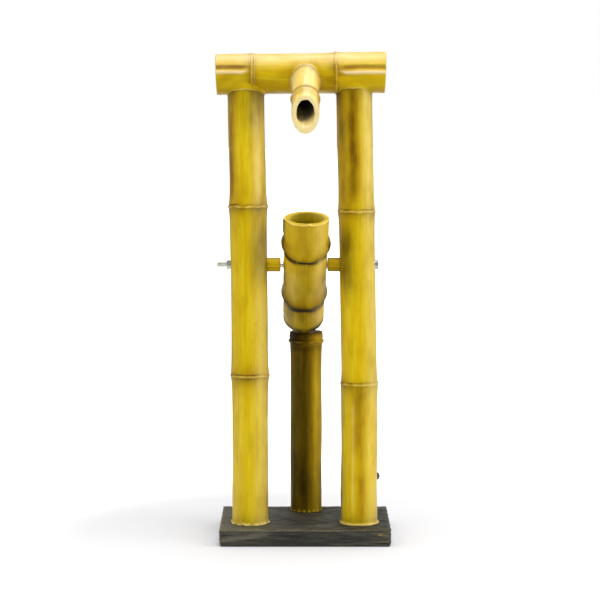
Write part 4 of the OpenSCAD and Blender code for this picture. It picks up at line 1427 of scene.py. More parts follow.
            # Painted shade under each lip and along its lower margin
            paint.add(Tint.GLAZE_AND_SHADE, (1 - soft_step(-away, 6.2 + 4.4 * sides, 10.8 + 9 * sides)) * (away < 0.5))
            paint.add(Tint.GLAZE_AND_SHADE, 0.85 * streaks * np.exp(-past / 2.4) * over)
            paint.add(Tint.RUST_AND_SHADE, 0.62 * streaks * np.exp(-past / 8) * over)
            paint.add(Tint.OLIVE, 0.2 * streaks * np.exp(-past / 9) * over)
            # Painted shade on the sides beside each lip
            paint.add(Tint.GLAZE_AND_SHADE, 1.1 * sides ** 3 * np.exp(-past / 6.5) * over)
            paint.add(Tint.RUST_AND_SHADE, 0.4 * bell(away + 11.5, 4.0))
        worn = np.clip(0.5 + 0.5 * round_wave(theta, 87, (2, 12)), 0, 1)
        # Painted highlight along the rim's outer edge
        paint.add(Tint.PALE, 0.6 * bell(edge - along, 0.9) * (np.abs(swing(np.degrees(theta))) < 150))
        paint.add(Tint.RUST_AND_SHADE, 0.35 * bell(edge - along - 2.4, 1.6) * worn)
        # Painted shade at the tail's end
        paint.add(Tint.GLAZE_AND_SHADE, 0.95 * soft_step(-along, self.tail_at - 14, self.tail_at - 3))
        paint.stain_and_shade(self.stains_and_shading, theta, along)
        return paint.washes

    def build(self, material: bpy.types.Material, inside: bpy.types.Material) -> None:
        """Rows go from the tail's inner wall out over the tail, up to the mouth and down into the cup.

        Args:
            material: Finish of the tube.
            inside: Finish of the cup's inner wall: a lighter copy that paints the light falling into the cup.
        """
        axis = self.axis()
        theta = around(self.columns)[None, :]
        start = self.tail()
        level = self.straight_to
        middle = np.arange(1.2 - self.tail_at, level, self.step)
        share = np.linspace(0.02, 1, 48)[:, None]
        edge = self.cut(np.full((1, self.columns), self.mouth_d / 2), theta) - 0.7
        along = np.vstack([np.repeat(middle[:, None], self.columns, 1), level + (edge - level) * share])
        theta_out = np.broadcast_to(theta, along.shape)
        radius = self.outline(along, theta_out)
        radius = radius + 0.2 * Relief(80, (24, 60, 60)).at(axis.place(along, radius, theta_out))
        rows = [axis.place(*turned(start, self.columns)), axis.place(along, radius, theta_out)]
        first = Paint((len(start), self.columns))
        # Painted shade inside the tail's bore, darker away from its open end
        first.add(Tint.GLAZE_AND_SHADE, 0.7 * soft_step(start[:, :1], 4 - self.tail_at, 12 - self.tail_at))
        first.add(Tint.GLAZE_AND_SHADE, 0.4)
        washes = [first.washes, self.wash(along, theta_out, edge)]
        self.mouth(axis, theta, rows, washes)
        cup_from = len(start) + len(along) + self.rim_rows
        piece = shell("tipping_tube_cast", np.vstack(rows), np.vstack(washes), second_from=cup_from)
        seat(piece, material, TUBE_BODY, "cane", "tipping_tube")
        piece.data.materials.append(inside)

    def mouth(self, axis: Axis, theta: Array, rows: list[Array], washes: list[Array]) -> None:
        """Adds the rim and the cup: rim rows lie on the sloping cut, cup rows slide from it to the floor.

        Args:
            axis: The tube's frame.
            theta: Angles from the front.
            rows: Rows of points, which are added to.
            washes: Their washes, which are added to.
        """
        outer, inner = self.mouth_d / 2, self.cup_d / 2
        wobble = 0.2 * round_wave(theta, 85, (3, 11))
        lumps = 0.1 + 0.25 * round_wave(theta, 88, (2, 14))
        # Rows of the rim; the outermost is painted pale as a highlight
        for r, down, pale in ((outer - 0.35, 0.25, 0.8), (outer - 1.0, 0, 0.3), (outer - 2.6, 0.15, 0.1),
                              (inner + 0.9, 0.1, 0.1), (inner + 0.2, 0.55, 0.2)):
            radius = np.full(theta.shape, r) + wobble
            fall = down + np.clip(lumps, 0, 1)
            rows.append(axis.place(self.cut(radius, theta) - fall, radius, theta))
            band = Paint(theta.shape)
            band.add(Tint.PALE, pale)
            band.add(Tint.OLIVE, 0.2 * (r < outer - 0.5) * soft_step(np.cos(theta), -0.6, 0.4))
            at_drip = bell(swing(np.degrees(theta)) - self.drip_angle, 7)
            band.add(Tint.PALE, 0.95 * (r > outer - 1.5) * at_drip)
            washes.append(band.washes)
        base = self.cup_floor + self.cup_round
        for t in np.linspace(0.015, 1, 80):
            radius = np.full(theta.shape, inner) + wobble * (1 - t)
            s = self.cut(radius, theta) * (1 - t) + base * t
            deep = self.cut(radius, theta) - s
            rows.append(axis.place(s, radius + 0.15 * np.sin(s / 5), theta))
            band = Paint(theta.shape)
            # Painted light in the cup: pale near the rim and on its right, darker with depth and on its left,
            # which is shaded
            shaded = 0.5 - 0.5 * np.sin(theta)
            band.add(Tint.PALE, 0.7 * (1 - 0.5 * shaded) * np.exp(-deep / 7))
            band.add(Tint.OLIVE, 0.12 * shaded)
            band.add(Tint.GLAZE_AND_SHADE, (0.42 + 0.3 * shaded) * soft_step(deep, 10, 32))
            washes.append(band.washes)
        for turn in np.linspace(15, 90, 6):
            bend = math.radians(turn)
            r = inner - self.cup_round * (1 - math.cos(bend))
            s = base - self.cup_round * math.sin(bend)
            rows.append(axis.place(np.full(theta.shape, s), np.full(theta.shape, r), theta))
            washes.append(washes[-1])
        for inward in (0.6, 0.3, 0.1):
            radius = np.full(theta.shape, (inner - self.cup_round) * inward)
            rows.append(axis.place(np.full(theta.shape, self.cup_floor), radius, theta))
            washes.append(washes[-1])

    def plug(self, material: bpy.types.Material) -> None:
        """The plug in the tail: a disc with a dished face and faint growth rings.

        Args:
            material: Finish of the plug.
        """
        axis = self.axis()
        radius_out = self.tail_bore_d / 2 - 0.2
        face, back = 2.5 - self.tail_at, 9.5 - self.tail_at
        face_r = np.linspace(0.05, 0.96, 34) * radius_out
        dish = 0.5 * (1 - (face_r / radius_out) ** 2) + 0.12 * np.sin(face_r * 2.1)
        back_r = np.linspace(0.96, 0.1, 6) * radius_out
        profile = np.array([*zip(face + dish, face_r), (face + 0.3, radius_out), (back - 0.4, radius_out),
                            *zip(np.full(6, back), back_r)])
        along, radius, theta = turned(profile, self.columns // 2)
        paint = Paint(along.shape)
        # Darker all over, with painted shade at the edge where the plug meets the bore
        paint.add(Tint.GLAZE_AND_SHADE, 0.35 + 0.4 * soft_step(radius, radius_out - 3, radius_out))
        paint.add(Tint.OLIVE, 0.4)
        piece = shell("tail_plug_cast", axis.place(along, radius, theta), paint.washes)
        seat(piece, material, TUBE_BODY, "cut_cane", "tail_plug")


@dataclass
class Spacer:
    """One of the two short cast rods that keep the tube in the middle of the pivot bolt."""

    name: str
    from_x: float
    to_x: float
    post_side: int
    seed: int
    diameter: float = 17.0
    columns: int = 72

    def build(self, material: bpy.types.Material) -> None:
        """A rod along X whose post end is hidden in the post's skin and whose free end is chipped.

        Args:
            material: Finish of the rod.
        """
        axis = pivot_line()
        r = self.diameter / 2
        free, held = (self.to_x, self.from_x) if self.post_side < 0 else (self.from_x, self.to_x)
        inward = self.post_side
        body = np.linspace(held, free + inward * 1.0, 26)
        profile = np.array([(held, 0.4 * r), (held, 0.95 * r), *((s, r) for s in body),
                            (free + inward * 0.3, r - 0.35), (free, r - 1.1), (free, 0.7 * r), (free, 3.2)])
        along, radius, theta = turned(profile, self.columns)
        near_free = np.clip(1 - np.abs(along - free) / 4, 0, 1)
        chip = np.clip(round_wave(theta, self.seed, (2, 12)), 0, 2) * near_free
        radius = radius - 0.5 * chip * (radius > 0.6 * r)
        radius = radius + 0.12 * round_wave(theta, self.seed + 1, (2, 7)) * (radius > 0.6 * r)
        degrees = swing(np.degrees(theta))
        radius = radius - 0.3 * bell(degrees + 26, 5)
        paint = Paint(along.shape)
        # Painted shade in the groove, on the underside and on the top
        paint.add(Tint.GLAZE_AND_SHADE, 0.65 * bell(degrees + 26, 6))
        paint.add(Tint.GLAZE_AND_SHADE, 0.5 * soft_step(-degrees, 40, 85))
        paint.add(Tint.GLAZE_AND_SHADE, 0.6 * soft_step(degrees, 62, 85))
        paint.add(Tint.GLAZE_AND_SHADE, 0.7 * np.exp(-np.abs(along - held) / 2.0))
        # Painted shade: olive on the underside, and over all of the right spacer
        paint.add(Tint.OLIVE, 0.3 * soft_step(-degrees, 10, 60) + (0.3 if self.post_side > 0 else 0.0))
        paint.add(Tint.RUST_AND_SHADE, 0.3 * bell(degrees - 8, 10))
        # Painted shade at the free end, beside the tube
        paint.add(Tint.GLAZE_AND_SHADE, 0.4 * bell(along - free, 0.8))
        points = axis.place(along, radius, theta)
        seat(shell(f"{self.name}_cast", points, paint.washes), material, FRAME_BODY, "cane", self.name)


@dataclass
class Pivot:
    """The bolt through both posts, with its nut and washers."""

    bolt_d: float = 6.0
    hex_width: float = 10.0
    head_height: float = 4.0
    washer_d: float = 12.0
    washer_thickness: float = 1.0
    pitch: float = 1.0
    thread_depth: float = 0.32
    columns: int = 72

    def hexagon(self, theta: Array, turn: float) -> Array:
        """Radius of a hexagon: its apothem over the cosine of the angle from the nearest flat's middle."""
        sixth = math.pi / 3
        return self.hex_width / 2 / np.cos((theta + turn) % sixth - sixth / 2)

    def thread(self, along: Array, theta: Array) -> Array:
        """Depth of the thread: a triangle wave of the distance along less the turn's share of the pitch."""
        phase = (along / self.pitch - theta / (2 * math.pi)) % 1
        return self.thread_depth * np.abs(2 * phase - 1)

    def lathe(self, name: str, profile: list[tuple[float, float]], cap: float | None = None,
              turn: float = 0.0, looped: bool = False,
              threaded: tuple[float, float] | None = None) -> bpy.types.Object:
        """A turned piece on the bolt's line, cut back to a hexagon where cap is given.

        Args:
            name: Name of the piece.
            profile: Distance along X and radius of each row.
            cap: Rows at least this thick follow the hexagon where it is the smaller.
            turn: Turn of the hexagon in radians.
            looped: True where the last row joins the first round a bore.
            threaded: Where the thread starts and ends along X.

        Returns:
            The object.
        """
        along, radius, theta = turned(np.array(profile), self.columns)
        if threaded is not None:
            start, end = threaded
            cut = soft_step(along, start, start + 1) * (1 - soft_step(along, end - 1, end))
            radius = radius - cut * self.thread(along, theta)
        if cap is not None:
            radius = np.where(radius >= cap, np.minimum(radius, self.hexagon(theta, turn)), radius)
        return shell(name, pivot_line().place(along, radius, theta), looped=looped, crease=28)

    def build(self, material: bpy.types.Material) -> None:
        """Builds bolt, nut and both washers between the boxes of their CAD nodes.

        Args:
            material: Finish of the steel.
        """
        low, high = (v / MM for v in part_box("pivot_bolt"))
        end, head = low.x, high.x
        under = head - self.head_height
        nut_low, nut_high = (v.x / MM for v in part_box("pivot_nut"))
        r, corner = self.bolt_d / 2, self.hex_width / 2 / math.cos(math.pi / 6)
        shank_from = nut_high + 14
        threaded = np.linspace(end + 0.5, shank_from, 400)
        profile = [(end, r * 0.5), (end, r - 0.55), (end + 0.4, r - 0.1), *((s, r) for s in threaded),
                   *((s, r - 0.02) for s in np.linspace(shank_from + 1, under - 0.2, 60)),
                   (under, r), (under, 4.4), (under + 0.1, corner - 0.25), (under + 0.35, corner),
                   (head - 0.9, corner), (head - 0.45, corner - 0.55), (head - 0.12, 4.55), (head, 4.0),
                   (head, 2.0), (head, 0.8)]
        bolt = self.lathe("pivot_bolt_threaded", profile, 4.2, 0.3, threaded=(end + 0.2, shank_from))
        seat(bolt, material, FRAME_BODY, "zinc", "pivot_bolt")
        bore = r + 0.05
        nut = self.lathe("pivot_nut_hex", [
            (nut_low, bore + 0.3), (nut_low, 4.3), (nut_low + 0.2, 4.75), (nut_low + 0.8, corner - 0.1),
            (nut_low + 1.2, corner), (nut_high - 1.2, corner), (nut_high - 0.8, corner - 0.1),
            (nut_high - 0.2, 4.75), (nut_high, 4.3), (nut_high, bore + 0.3), (nut_high - 0.4, bore),
            (nut_low + 0.4, bore)], 4.4, 0.15, True)
        seat(nut, material, FRAME_BODY, "zinc", "pivot_nut")
        low, high = (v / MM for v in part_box("pivot_washers"))
        for name, near, far in (("left", low.x, low.x + self.washer_thickness),
                                ("right", high.x - self.washer_thickness, high.x)):
            outer, hole = self.washer_d / 2, r + 0.3
            ring = self.lathe(f"pivot_washer_{name}", [
                (near, hole + 0.1), (near, outer - 0.35), (near + 0.15, outer - 0.1), (near + 0.35, outer),
                (far - 0.35, outer), (far - 0.15, outer - 0.1), (far, outer - 0.35), (far, hole + 0.1),
                (far - 0.1, hole), (near + 0.1, hole)], looped=True)
            seat(ring, material, FRAME_BODY, "zinc", "pivot_washers")


@dataclass
class Slab:
    """The base: a slate-faced slab with worn edges and recessed screws in its underside."""

    width: float = 210.4
    depth: float = 162.6
    thickness: float = 21.0
    side_round: float = 5.0
    corner_round: float = 3.0
    recess_d: float = 11.5
    recess_depth: float = 7.0
    screw_spread: float = 10.0
    feet_r: tuple[float, float, float] = (23, 23.6, 20.5)
    columns: int = 560
    level_rows: int = 62
    side_rows: int = 22

    def outline(self) -> Array:
        """Plan of the slab: points evenly along a rectangle, each corner drawn to an arc.

        A point's place is the nearest point of the rectangle shrunk by the corner's radius, plus that
        radius towards the point.

        Returns:
            X and Y of each column.
        """
        half = np.array([self.width / 2, self.depth / 2])
        perimeter = 4 * (half[0] + half[1])
        walk = (np.arange(self.columns) + 0.5) / self.columns * perimeter
        stops = np.cumsum([0, 2 * half[0], 2 * half[1], 2 * half[0], 2 * half[1]])
        x = np.interp(walk, stops, [-half[0], half[0], half[0], -half[0], -half[0]])
        y = np.interp(walk, stops, [-half[1], -half[1], half[1], half[1], -half[1]])
        plan = np.stack([x, y], -1)
        core = np.clip(plan, self.corner_round - half, half - self.corner_round)
        away = plan - core
        return core + away / np.maximum(np.linalg.norm(away, axis=1), 1e-9)[:, None] * self.corner_round

    def build(self, material: bpy.types.Material) -> None:
        """Rings grow from the top's middle to its edge, go down the sides and shrink under the slab.

        Args:
            material: Finish of the slab.
        """
        plan = self.outline()
        grow = 1 - np.linspace(1, 0, self.level_rows) ** 1.15
        grow[0] = 0.004
        sink = np.linspace(0, 1, self.side_rows + 2)[1:-1]
        top = [(g, self.thickness) for g in grow]
        side = [(1.0, self.thickness * (1 - s)) for s in sink]
        under = [(g, 0.0) for g in grow[::-1]]
        rings = np.array([*top, *side, *under])
        points = np.zeros((len(rings), self.columns, 3))
        points[..., :2] = rings[:, :1, None] * plan
        points[..., 2] = rings[:, 1:]
        x, y, z = (points[..., k].copy() for k in range(3))
        squeeze = self.side_round * (1 - np.sqrt(1 - np.clip(1 - z / self.side_round, 0, 1) ** 2))
        edge = np.abs(x) > self.width / 2 - self.side_round
        points[..., 0] = np.where(edge, np.sign(x) * np.minimum(np.abs(x), self.width / 2 - squeeze), x)
        grain = Relief(11, (60, 26, 4.2), 26).at(points)
        lumps = Relief(12, (30, 18, 12), 20).at(points)
        ragged = Relief(13, (9, 9, 5), 20).at(points)
        on_top = rings[:, 1:] > self.thickness - 0.01
        on_side = (rings[:, :1] > 0.999) & ~on_top & (rings[:, 1:] > 0.01)
        to_edge = np.minimum(self.width / 2 - np.abs(x), self.depth / 2 - np.abs(y))
        level = 0.32 * lumps + 0.16 * grain - 0.45
        inward = np.clip(0.5 + 0.34 * grain + 0.2 * lumps + 0.16 * ragged, 0, 2)
        worn = 0.75 * bell(to_edge, 2.4) * (1 + 0.5 * ragged)
        points[..., 2] += np.where(on_top, level - worn, 0)
        points[..., 0] -= np.where(on_side & (self.width / 2 - np.abs(x) < 2), np.sign(x) * inward, 0)
        points[..., 1] -= np.where(on_side & (self.depth / 2 - np.abs(y) < 2), np.sign(y) * inward, 0)
        edge_in = np.where(to_edge < 1.2, inward * 0.8, 0)
        points[..., 0] -= np.where(on_top & (self.width / 2 - np.abs(x) < 2), np.sign(x) * edge_in, 0)
        points[..., 1] -= np.where(on_top & (self.depth / 2 - np.abs(y) < 2), np.sign(y) * edge_in, 0)
        self.recesses(points, rings)
        washes = self.wear(x, y, z, grain, on_top, on_side, to_edge, ragged)
        points[..., 2] = np.maximum(points[..., 2], 0)
        seat(shell("base_slab_cast", points, washes, crease=50), material, FRAME_BODY, "slab", "base_slab")

    def wear(self, x: Array, y: Array, z: Array, grain: Array, on_top: Array, on_side: Array, to_edge: Array,
             ragged: Array) -> Array:
        """Washes of the slab: pale worn upper edges, painted shade round the feet, a top darker to the right
        and lighter to the left, and light and dark patches and specks on the front.

        Args:
            x: X of each point before the relief.
            y: Its Y.
            z: Its Z.
            grain: Relief with level layers.
            on_top: True on the upper face.
            on_side: True on the four sides.
            to_edge: Distance in from the nearest side.
            ragged: Fine relief.

        Returns:
            The four washes of each point.
        """
        paint = Paint(x.shape)
        near_top = on_side * bell(z - self.thickness, 1.3) + on_top * bell(to_edge, 1.9)
        paint.add(Tint.PALE, near_top * np.clip(0.86 + 0.4 * ragged - 0.5 * soft_step(x, 40, 80), 0, 1))
        # Painted shade round the feet
        for (foot_x, foot_y), foot_r in zip(feet(), self.feet_r):
            away = np.hypot(x - foot_x, y - foot_y) - foot_r
            paint.add(Tint.GLAZE_AND_SHADE, on_top * 0.85 * np.exp(-np.clip(away, 0, None) / 8))
        paint.add(Tint.GLAZE_AND_SHADE, on_top * 0.35 * soft_step(x, 10, 60))
        paint.add(Tint.OLIVE, on_top * 0.35 * soft_step(-x, 20, 70))
        front = on_side * (y < 0)
        slant = z - 9 - (x + 92) * 0.12
        paint.add(Tint.OLIVE, front * 0.6 * bell(slant, 2.6) * soft_step(-x, 38, 60) * (1 + 0.3 * grain))
        paint.add(Tint.RUST_AND_SHADE, front * 0.85 * bell(x - 91.5, 2.2) * bell(z - 14.5, 0.9))
        paint.add(Tint.RUST_AND_SHADE, front * 0.3 * bell(x - 97, 5) * bell(z - 13.8, 0.7))
        paint.add(Tint.GLAZE_AND_SHADE, front * 0.35 * soft_step(grain, 0.4, 1.4))
        paint.add(Tint.GLAZE_AND_SHADE, front * 0.7 * bell(x, 50) * soft_step(self.thickness - z, 1, 4))
        return paint.washes

    def recesses(self, points: Array, rings: Array) -> None:
        """Sinks the screw recesses: points inside a circle go up to its depth and those near it onto it.

        Args:
            points: Points of the slab, which are changed.
            rings: Share of the plan and height of each ring.
        """
        under = rings[:, 1:] < 0.01
        radius = self.recess_d / 2
        for foot_x, foot_y in feet():
            for side in (-1, 1):
                middle = np.array([foot_x, foot_y + side * self.screw_spread])
                away = points[..., :2] - middle
                reach = np.linalg.norm(away, axis=-1)
                unit = away / np.maximum(reach, 1e-6)[..., None]
                rim = under & (np.abs(reach - radius) < 1.1) & (reach >= radius - 0.1)
                inner = under & (reach < radius - 0.1) & (reach > radius - 1.7)
                points[..., :2] = np.where(rim[..., None], middle + unit * radius, points[..., :2])
                points[..., :2] = np.where(inner[..., None], middle + unit * (radius - 0.08), points[..., :2])
                points[..., 2] = np.where(under & (reach < radius - 0.1), self.recess_depth, points[..., 2])


@dataclass
class Studio:
    """The pale floor, the soft lamps and the camera."""

    camera_x: float = -6.3
    camera_back: float = 2780.5
    camera_rise: float = 529.8
    pitch: float = 5.2
    focal: float = 136.4
    floor_size: float = 40.0
    floor_glow: float = 1.2
    glow_from: float = 0.26
    glow_to: float = 0.6
    paper: str = "#e6e6e8"
    room: tuple[float, float] = (0.66, 0.7)
    shine: tuple[float, float] = (0.11, 0.34)
    backdrop: tuple[float, float] = (0.95, 0.965)

    def floor(self) -> None:
        """A wide paper floor with the object's shadow, whose own glow makes it white away from the object."""
        mesh = bpy.data.meshes.new("studio_floor")
        half = self.floor_size / 2
        corners = [(-half, -half, 0), (half, -half, 0), (half, half, 0), (-half, half, 0)]
        mesh.from_pydata(corners, [], [(0, 1, 2, 3)])
        piece = bpy.data.objects.new("studio_floor", mesh)
        bpy.context.scene.collection.objects.link(piece)
        material, tree, output = new_material("studio_paper")
        path = add(tree, "ShaderNodeLightPath")
        seen = add(tree, *MAXIMUM, {0: path.outputs["Is Camera Ray"], 1: path.outputs["Is Transmission Ray"]})
        place = add(tree, "ShaderNodeTexCoord").outputs["Object"]
        reach = add(tree, "ShaderNodeVectorMath", {"operation": "LENGTH"}, {0: place})
        far = add(tree, *SMOOTH, {"Value": reach.outputs["Value"], "From Min": self.glow_from,
                                  "From Max": self.glow_to, "To Max": self.floor_glow})
        parts = add(tree, "ShaderNodeSeparateXYZ", None, {0: place})
        sine = add(tree, "ShaderNodeMath", {"operation": "DIVIDE"},
                   {0: parts.outputs[1], 1: reach.outputs["Value"]})
        low, high = self.backdrop
        back = add(tree, *SMOOTH, {"Value": sine.outputs[0], "From Min": low, "From Max": high})
        behind = add(tree, *MULTIPLY, {0: back.outputs[0], 1: path.outputs["Is Glossy Ray"]})
        seen = add(tree, *MAXIMUM, {0: seen.outputs[0], 1: behind.outputs[0]})
        glow = add(tree, *MULTIPLY, {0: seen.outputs[0], 1: far.outputs[0]})
        matt = add(tree, "ShaderNodeBsdfDiffuse", None, {"Color": linear(self.paper)})
        light = add(tree, "ShaderNodeEmission", None,
                    {"Color": linear("#ffffff"), "Strength": glow.outputs[0]})
        both = add(tree, "ShaderNodeAddShader", None, {0: matt.outputs[0], 1: light.outputs[0]})
        tree.links.new(both.outputs[0], output.inputs[0])
        mesh.materials.append(material)

    def world(self) -> None:
        """White all round for the eye; as light, a dim room with the white backdrop behind the object.

        The backdrop fills the directions within about 17 degrees of straight back, where the camera sees it.
        """
        world = bpy.data.worlds.new("studio")
        bpy.context.scene.world = world
        world.use_nodes = True
        tree = world.node_tree
        tree.nodes.clear()
        output = add(tree, "ShaderNodeOutputWorld")
        direction = add(tree, "ShaderNodeTexCoord").outputs["Generated"]
        parts = add(tree, "ShaderNodeSeparateXYZ", None, {0: direction})
        back = parts.outputs[1]
        room, shine = (add(tree, *SMOOTH, {
            "Value": back, "From Min": -0.6, "From Max": 0.5, "To Min": dim, "To Max": bright})
            for dim, bright in (self.room, self.shine))
        low, high = self.backdrop
        backdrop = add(tree, *SMOOTH, {"Value": back, "From Min": low, "From Max": high})
        shine = add(tree, *MAXIMUM, {0: shine.outputs[0], 1: backdrop.outputs[0]})
        path = add(tree, "ShaderNodeLightPath")
        lit = add(tree, "ShaderNodeMix", None,
                  {0: path.outputs["Is Glossy Ray"], 2: room.outputs[0], 3: shine.outputs[0]})
        clear = add(tree, *MAXIMUM,
                    {0: path.outputs["Is Camera Ray"], 1: path.outputs["Is Transmission Ray"]})
        strength = add(tree, "ShaderNodeMix", None, {0: clear.outputs[0], 2: lit.outputs[0], 3: 1.0})
        light = add(tree, "ShaderNodeBackground", None,
                    {"Color": linear("#ffffff"), "Strength": strength.outputs[0]})
        tree.links.new(light.outputs[0], output.inputs[0])

    def lamp(self, name: str, place: tuple[float, float, float], aim: tuple[float, float, float],
             size: tuple[float, float], power: float) -> None:
        """Adds a soft rectangular lamp that faces a point.

        Args:
            name: Name of the lamp.
            place: Its middle, in metres.
            aim: The point that it faces, in metres.
            size: Its width and height, in metres.
            power: Its power in watts.
        """
        data = bpy.data.lights.new(name, "AREA")
        data.shape = "RECTANGLE"
        data.size, data.size_y = size
        data.energy = power
        lamp = bpy.data.objects.new(name, data)
        bpy.context.scene.collection.objects.link(lamp)
        lamp.location = place
        away = np.array(place) - np.array(aim)
        across = math.hypot(away[0], away[1])
        lamp.rotation_euler = (math.atan2(across, away[2]), 0, math.atan2(away[1], away[0]) + math.pi / 2)

    def camera(self) -> None:
        """The camera of the reference view: level with the beam, looking a little down."""
        data = bpy.data.cameras.new("view")
        data.lens = self.focal
        data.sensor_width = 36
        data.clip_start, data.clip_end = 0.05, 60
        view = bpy.data.objects.new("view", data)
        bpy.context.scene.collection.objects.link(view)
        view.location = (self.camera_x * MM, (POST_ROW_Y - self.camera_back) * MM,
                         (SLAB_TOP + self.camera_rise) * MM)
        view.rotation_euler = (math.radians(90 - self.pitch), 0, 0)
        bpy.context.scene.camera = view

    def build(self) -> None:
        """Sets floor, world, lamps and the plain view transform."""
        self.floor()
        self.world()
        self.lamp("top_box", (0.1, -0.3, 1.9), (0, 0, 0.35), (0.85, 1.4), 20)
        self.lamp("right_box", (1.25, -0.3, 0.75), (0, 0, 0.35), (0.7, 1.3), 7)
        self.lamp("left_box", (-1.35, -0.4, 0.75), (0, 0, 0.35), (0.9, 1.3), 3)
        bpy.context.scene.view_settings.view_transform = "Standard"


def posts() -> tuple[Post, Post]:
    """The two posts with their measured bends, ridges, marks, painted shade, painted shadows and painted
    sheen.

    Returns:
        The left and the right post.
    """
    left = Post(
        name="left_post", outer=-1, diameters=(44.2, 45.2, 44.8),
        bend_at=(0, 184, 392, BEAM_RISE), bend_x=(LEFT_FOOT_X, LEFT_FOOT_X, -69.6, -73.0), ridges=(
            NodeRidge(at=184, crest_d=49.0, swell_low=1.9, swell_high=1.5, reach=13,
                      half=1.15, hollow=0.45, hollow_at=2.4, waver=0.35, seed=21),
            NodeRidge(at=392, crest_d=49.9, swell_low=1.9, swell_high=1.9, reach=13,
                      half=1.25, hollow=0.5, hollow_at=2.5, waver=0.5, seed=22)),
        beam_rise=552.6, flat_x=-90.4, lip=1.0, lip_height=2.2, lip_ragged=1.0, seed=20, stains_and_shading=(
            StainAndShading(Tint.RUST_AND_SHADE, -56, 17, 404, 540, 0.85, 22),
            # Painted shade under the beam, on the left of the top
            StainAndShading(Tint.OLIVE, -10, 60, 486, 545, 0.22, 26),
            StainAndShading(Tint.RUST_AND_SHADE, -52, 18, 500, 545, 0.35, 16),
            StainAndShading(Tint.GLAZE_AND_SHADE, -60, 15, 412, 470, 0.3, 20),
            StainAndShading(Tint.GLAZE_AND_SHADE, -72, 12, 396, 530, 0.3, 20),
            # Painted shade under the beam, on the right of the top
            StainAndShading(Tint.GLAZE_AND_SHADE, 44, 26, 498, 534, 0.36, 10),
            StainAndShading(Tint.OLIVE, 34, 36, 486, 542, 0.5, 14),
            # Painted highlight and reflection: pale bands down the right side and low on the left
            StainAndShading(Tint.PALE, 36, 12, 398, 496, 0.4, 14),
            StainAndShading(Tint.PALE, 34, 20, -20, 520, 0.2, 20),
            StainAndShading(Tint.PALE, -48, 26, -20, 170, 0.1, 24),
            # Painted shade on the left side
            StainAndShading(Tint.OLIVE, -50, 26, -20, 380, 0.12, 24),
            # Painted shadow of the tube beside the pivot
            StainAndShading(Tint.GLAZE_AND_SHADE, 58, 26, 310, 362, 0.4, 18),
            StainAndShading(Tint.OLIVE, 42, 36, 304, 368, 0.42, 18),
            StainAndShading(Tint.RUST_AND_SHADE, 72, 10, 10, 40, 0.5, 9),
            # Painted shade on the left edge
            StainAndShading(Tint.GLAZE_AND_SHADE, -78, 8, 190, 380, 0.25, 20),
            StainAndShading(Tint.OLIVE, 180, 40, 40, 520, 0.3, 30),
        ))
    right = Post(
        name="right_post", outer=1, diameters=(44.8, 43.7, 43.8),
        bend_at=(0, 174, 386, BEAM_RISE), bend_x=(RIGHT_FOOT_X, RIGHT_FOOT_X, 62.9, 58.9), ridges=(
            NodeRidge(at=174, crest_d=47.7, swell_low=1.2, swell_high=1.5, reach=13,
                      half=1.15, hollow=0.45, hollow_at=2.4, waver=0.3, seed=31),
            NodeRidge(at=386, crest_d=47.5, swell_low=1.5, swell_high=1.3, reach=13,
                      half=1.25, hollow=0.45, hollow_at=2.4, waver=0.3, seed=32)),
        beam_rise=554.4, flat_x=85.3, lip=1.7, lip_height=2.6, lip_ragged=0.12, seed=30, stains_and_shading=(
            StainAndShading(Tint.GLAZE_AND_SHADE, -52, 19, 472, 494, 0.72, 14),
            # Painted shade under the beam, on the left edge of the top
            StainAndShading(Tint.GLAZE_AND_SHADE, -72, 12, 500, 545, 0.35, 14),
            StainAndShading(Tint.OLIVE, -50, 34, 396, 540, 0.34, 18),
            StainAndShading(Tint.RUST_AND_SHADE, -46, 34, 400, 540, 0.4, 18),
            StainAndShading(Tint.OLIVE, 0, 22, 400, 540, 0.2, 18),
            StainAndShading(Tint.RUST_AND_SHADE, -4, 17, 402, 534, 0.9, 14),
            StainAndShading(Tint.GLAZE_AND_SHADE, -10, 11, 404, 534, 0.42, 14),
            # Painted sheen: pale bands down the right side
            StainAndShading(Tint.PALE, 44, 18, 400, 526, 0.2, 14),
            StainAndShading(Tint.PALE, 40, 20, -20, 560, 0.15, 14),
            StainAndShading(Tint.OLIVE, 52, 34, 160, 560, 0.14, 14),
            # Painted shadow of the tube beside the pivot
            StainAndShading(Tint.GLAZE_AND_SHADE, -52, 32, 296, 362, 0.5, 18),
            StainAndShading(Tint.OLIVE, -40, 34, 280, 372, 0.4, 18),
            StainAndShading(Tint.RUST_AND_SHADE, 0, 20, 90, 170, 0.62, 16),
            StainAndShading(Tint.RUST_AND_SHADE, 6, 14, 10, 100, 0.66, 16),
            StainAndShading(Tint.GLAZE_AND_SHADE, -2, 20, 130, 170, 0.26, 12),
            StainAndShading(Tint.PALE, -22, 4, 20, 150, 0.35, 16),
            # Painted shade on the lower left edge
            StainAndShading(Tint.OLIVE, -75, 16, 20, 168, 0.4, 16),
            StainAndShading(Tint.GLAZE_AND_SHADE, -74, 9, 0, 42, 0.5, 8),
            StainAndShading(Tint.OLIVE, 180, 40, 40, 520, 0.3, 30),
        ))
    return left, right


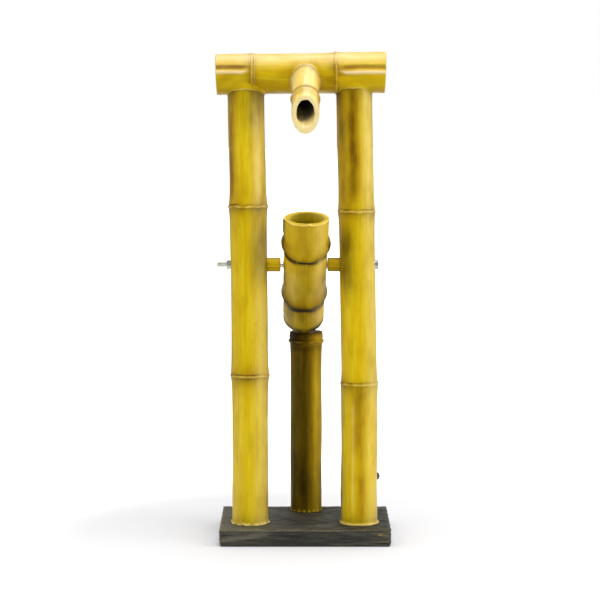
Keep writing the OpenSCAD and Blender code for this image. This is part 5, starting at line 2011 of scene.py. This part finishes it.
def main() -> None:
    """Builds every piece and reports it."""
    logging.basicConfig(level=logging.INFO, format="%(name)s: %(message)s")
    cane = CaneFinish("painted_cane_resin").build()
    beam_cane = CaneFinish("painted_cane_resin_level", body="#cfac02", light="#dabe1c", deep="#b08900",
                           pale="#e2cc98", turn=(0, -90, 0)).build()
    # A paler copy of the cane finish for the spout: painted light standing in for the lamp light on its
    # upward face
    spout_cane = CaneFinish("painted_cane_resin_spout_lit", body="#e0c35a", light="#f0dea2", deep="#cba322",
                            glaze_and_shade="#120a00", pale="#f6e4ac", gloss=0.3, amber="#ffffff",
                            turn=(-130, 0, 0)).build()
    tube_cane = CaneFinish("painted_cane_resin_tube", body="#ccab08", light="#d4b524", deep="#aa8704",
                           rust_and_shade="#916602", glaze_and_shade="#201400", pale="#ead078", coat=0.0, roughness=(0.45, 0.6),
                           turn=(-50, 0, 0)).build()
    # A darker copy of the cane finish for the back post
    dark_cane = CaneFinish("dark_cane_resin", body="#665208", light="#80690c", deep="#453604", glaze_and_shade="#221602",
                      olive="#3a3004", pale="#c4a21c", roughness=(0.5, 0.66), coat=0.0, gloss=0.18).build()
    steel = PlatedSteel().build()
    Slab().build(SlateFinish().build())
    for post in posts():
        post.build(cane, beam_cane)
    StrikerPost().build(dark_cane)
    Crossbeam().build(beam_cane)
    Spout().build(spout_cane)
    tube = TippingTube()
    # A lighter copy of the tube's finish for the cup's inner wall: painted light that stands in for the light
    # falling into the cup
    cup = CaneFinish("painted_cane_resin_cup_lit", body="#f0da2c", light="#f8e648", deep="#dcc020",
                     glaze_and_shade="#2e2200", pale="#fbf0a0", coat=0.0, roughness=(0.5, 0.66),
                     turn=(-50, 0, 0)).build()
    tube.build(tube_cane, cup)
    tube.plug(tube_cane)
    for name, side, seed in (("left_spacer", -1, 91), ("right_spacer", 1, 95)):
        low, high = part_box(name)
        Spacer(name, low.x / MM, high.x / MM, side, seed).build(beam_cane)
    Pivot().build(steel)
    iron = PlatedSteel("cast_iron", "#4a4846", "#2f2d2b", 1.0, (0.5, 0.7), 0.6).build()
    nylon = Moulded("black_nylon", "#3d3b37", "#2c2a27").build()
    acetal = Moulded("natural_acetal", "#d9d6cb", "#c4c0b2").build()
    vinyl = Moulded("clear_vinyl_hose", "#eef0ea", "#dfe4dc", (0.12, 0.25), 1.53, 0.7).build()
    for material, nodes in (
            (iron, ("counterweight",)), (steel, ("post_screws", "screw_washers")), (nylon, ("inlet_elbow",)),
            (acetal, ("pivot_sleeve", "riser_elbow", "spout_elbow")), (vinyl, ("riser_hose", "cross_hose"))):
        for node in nodes:
            repaint(node, material)
    studio = Studio()
    studio.camera()
    studio.build()


if __name__ == "__main__":
    main()
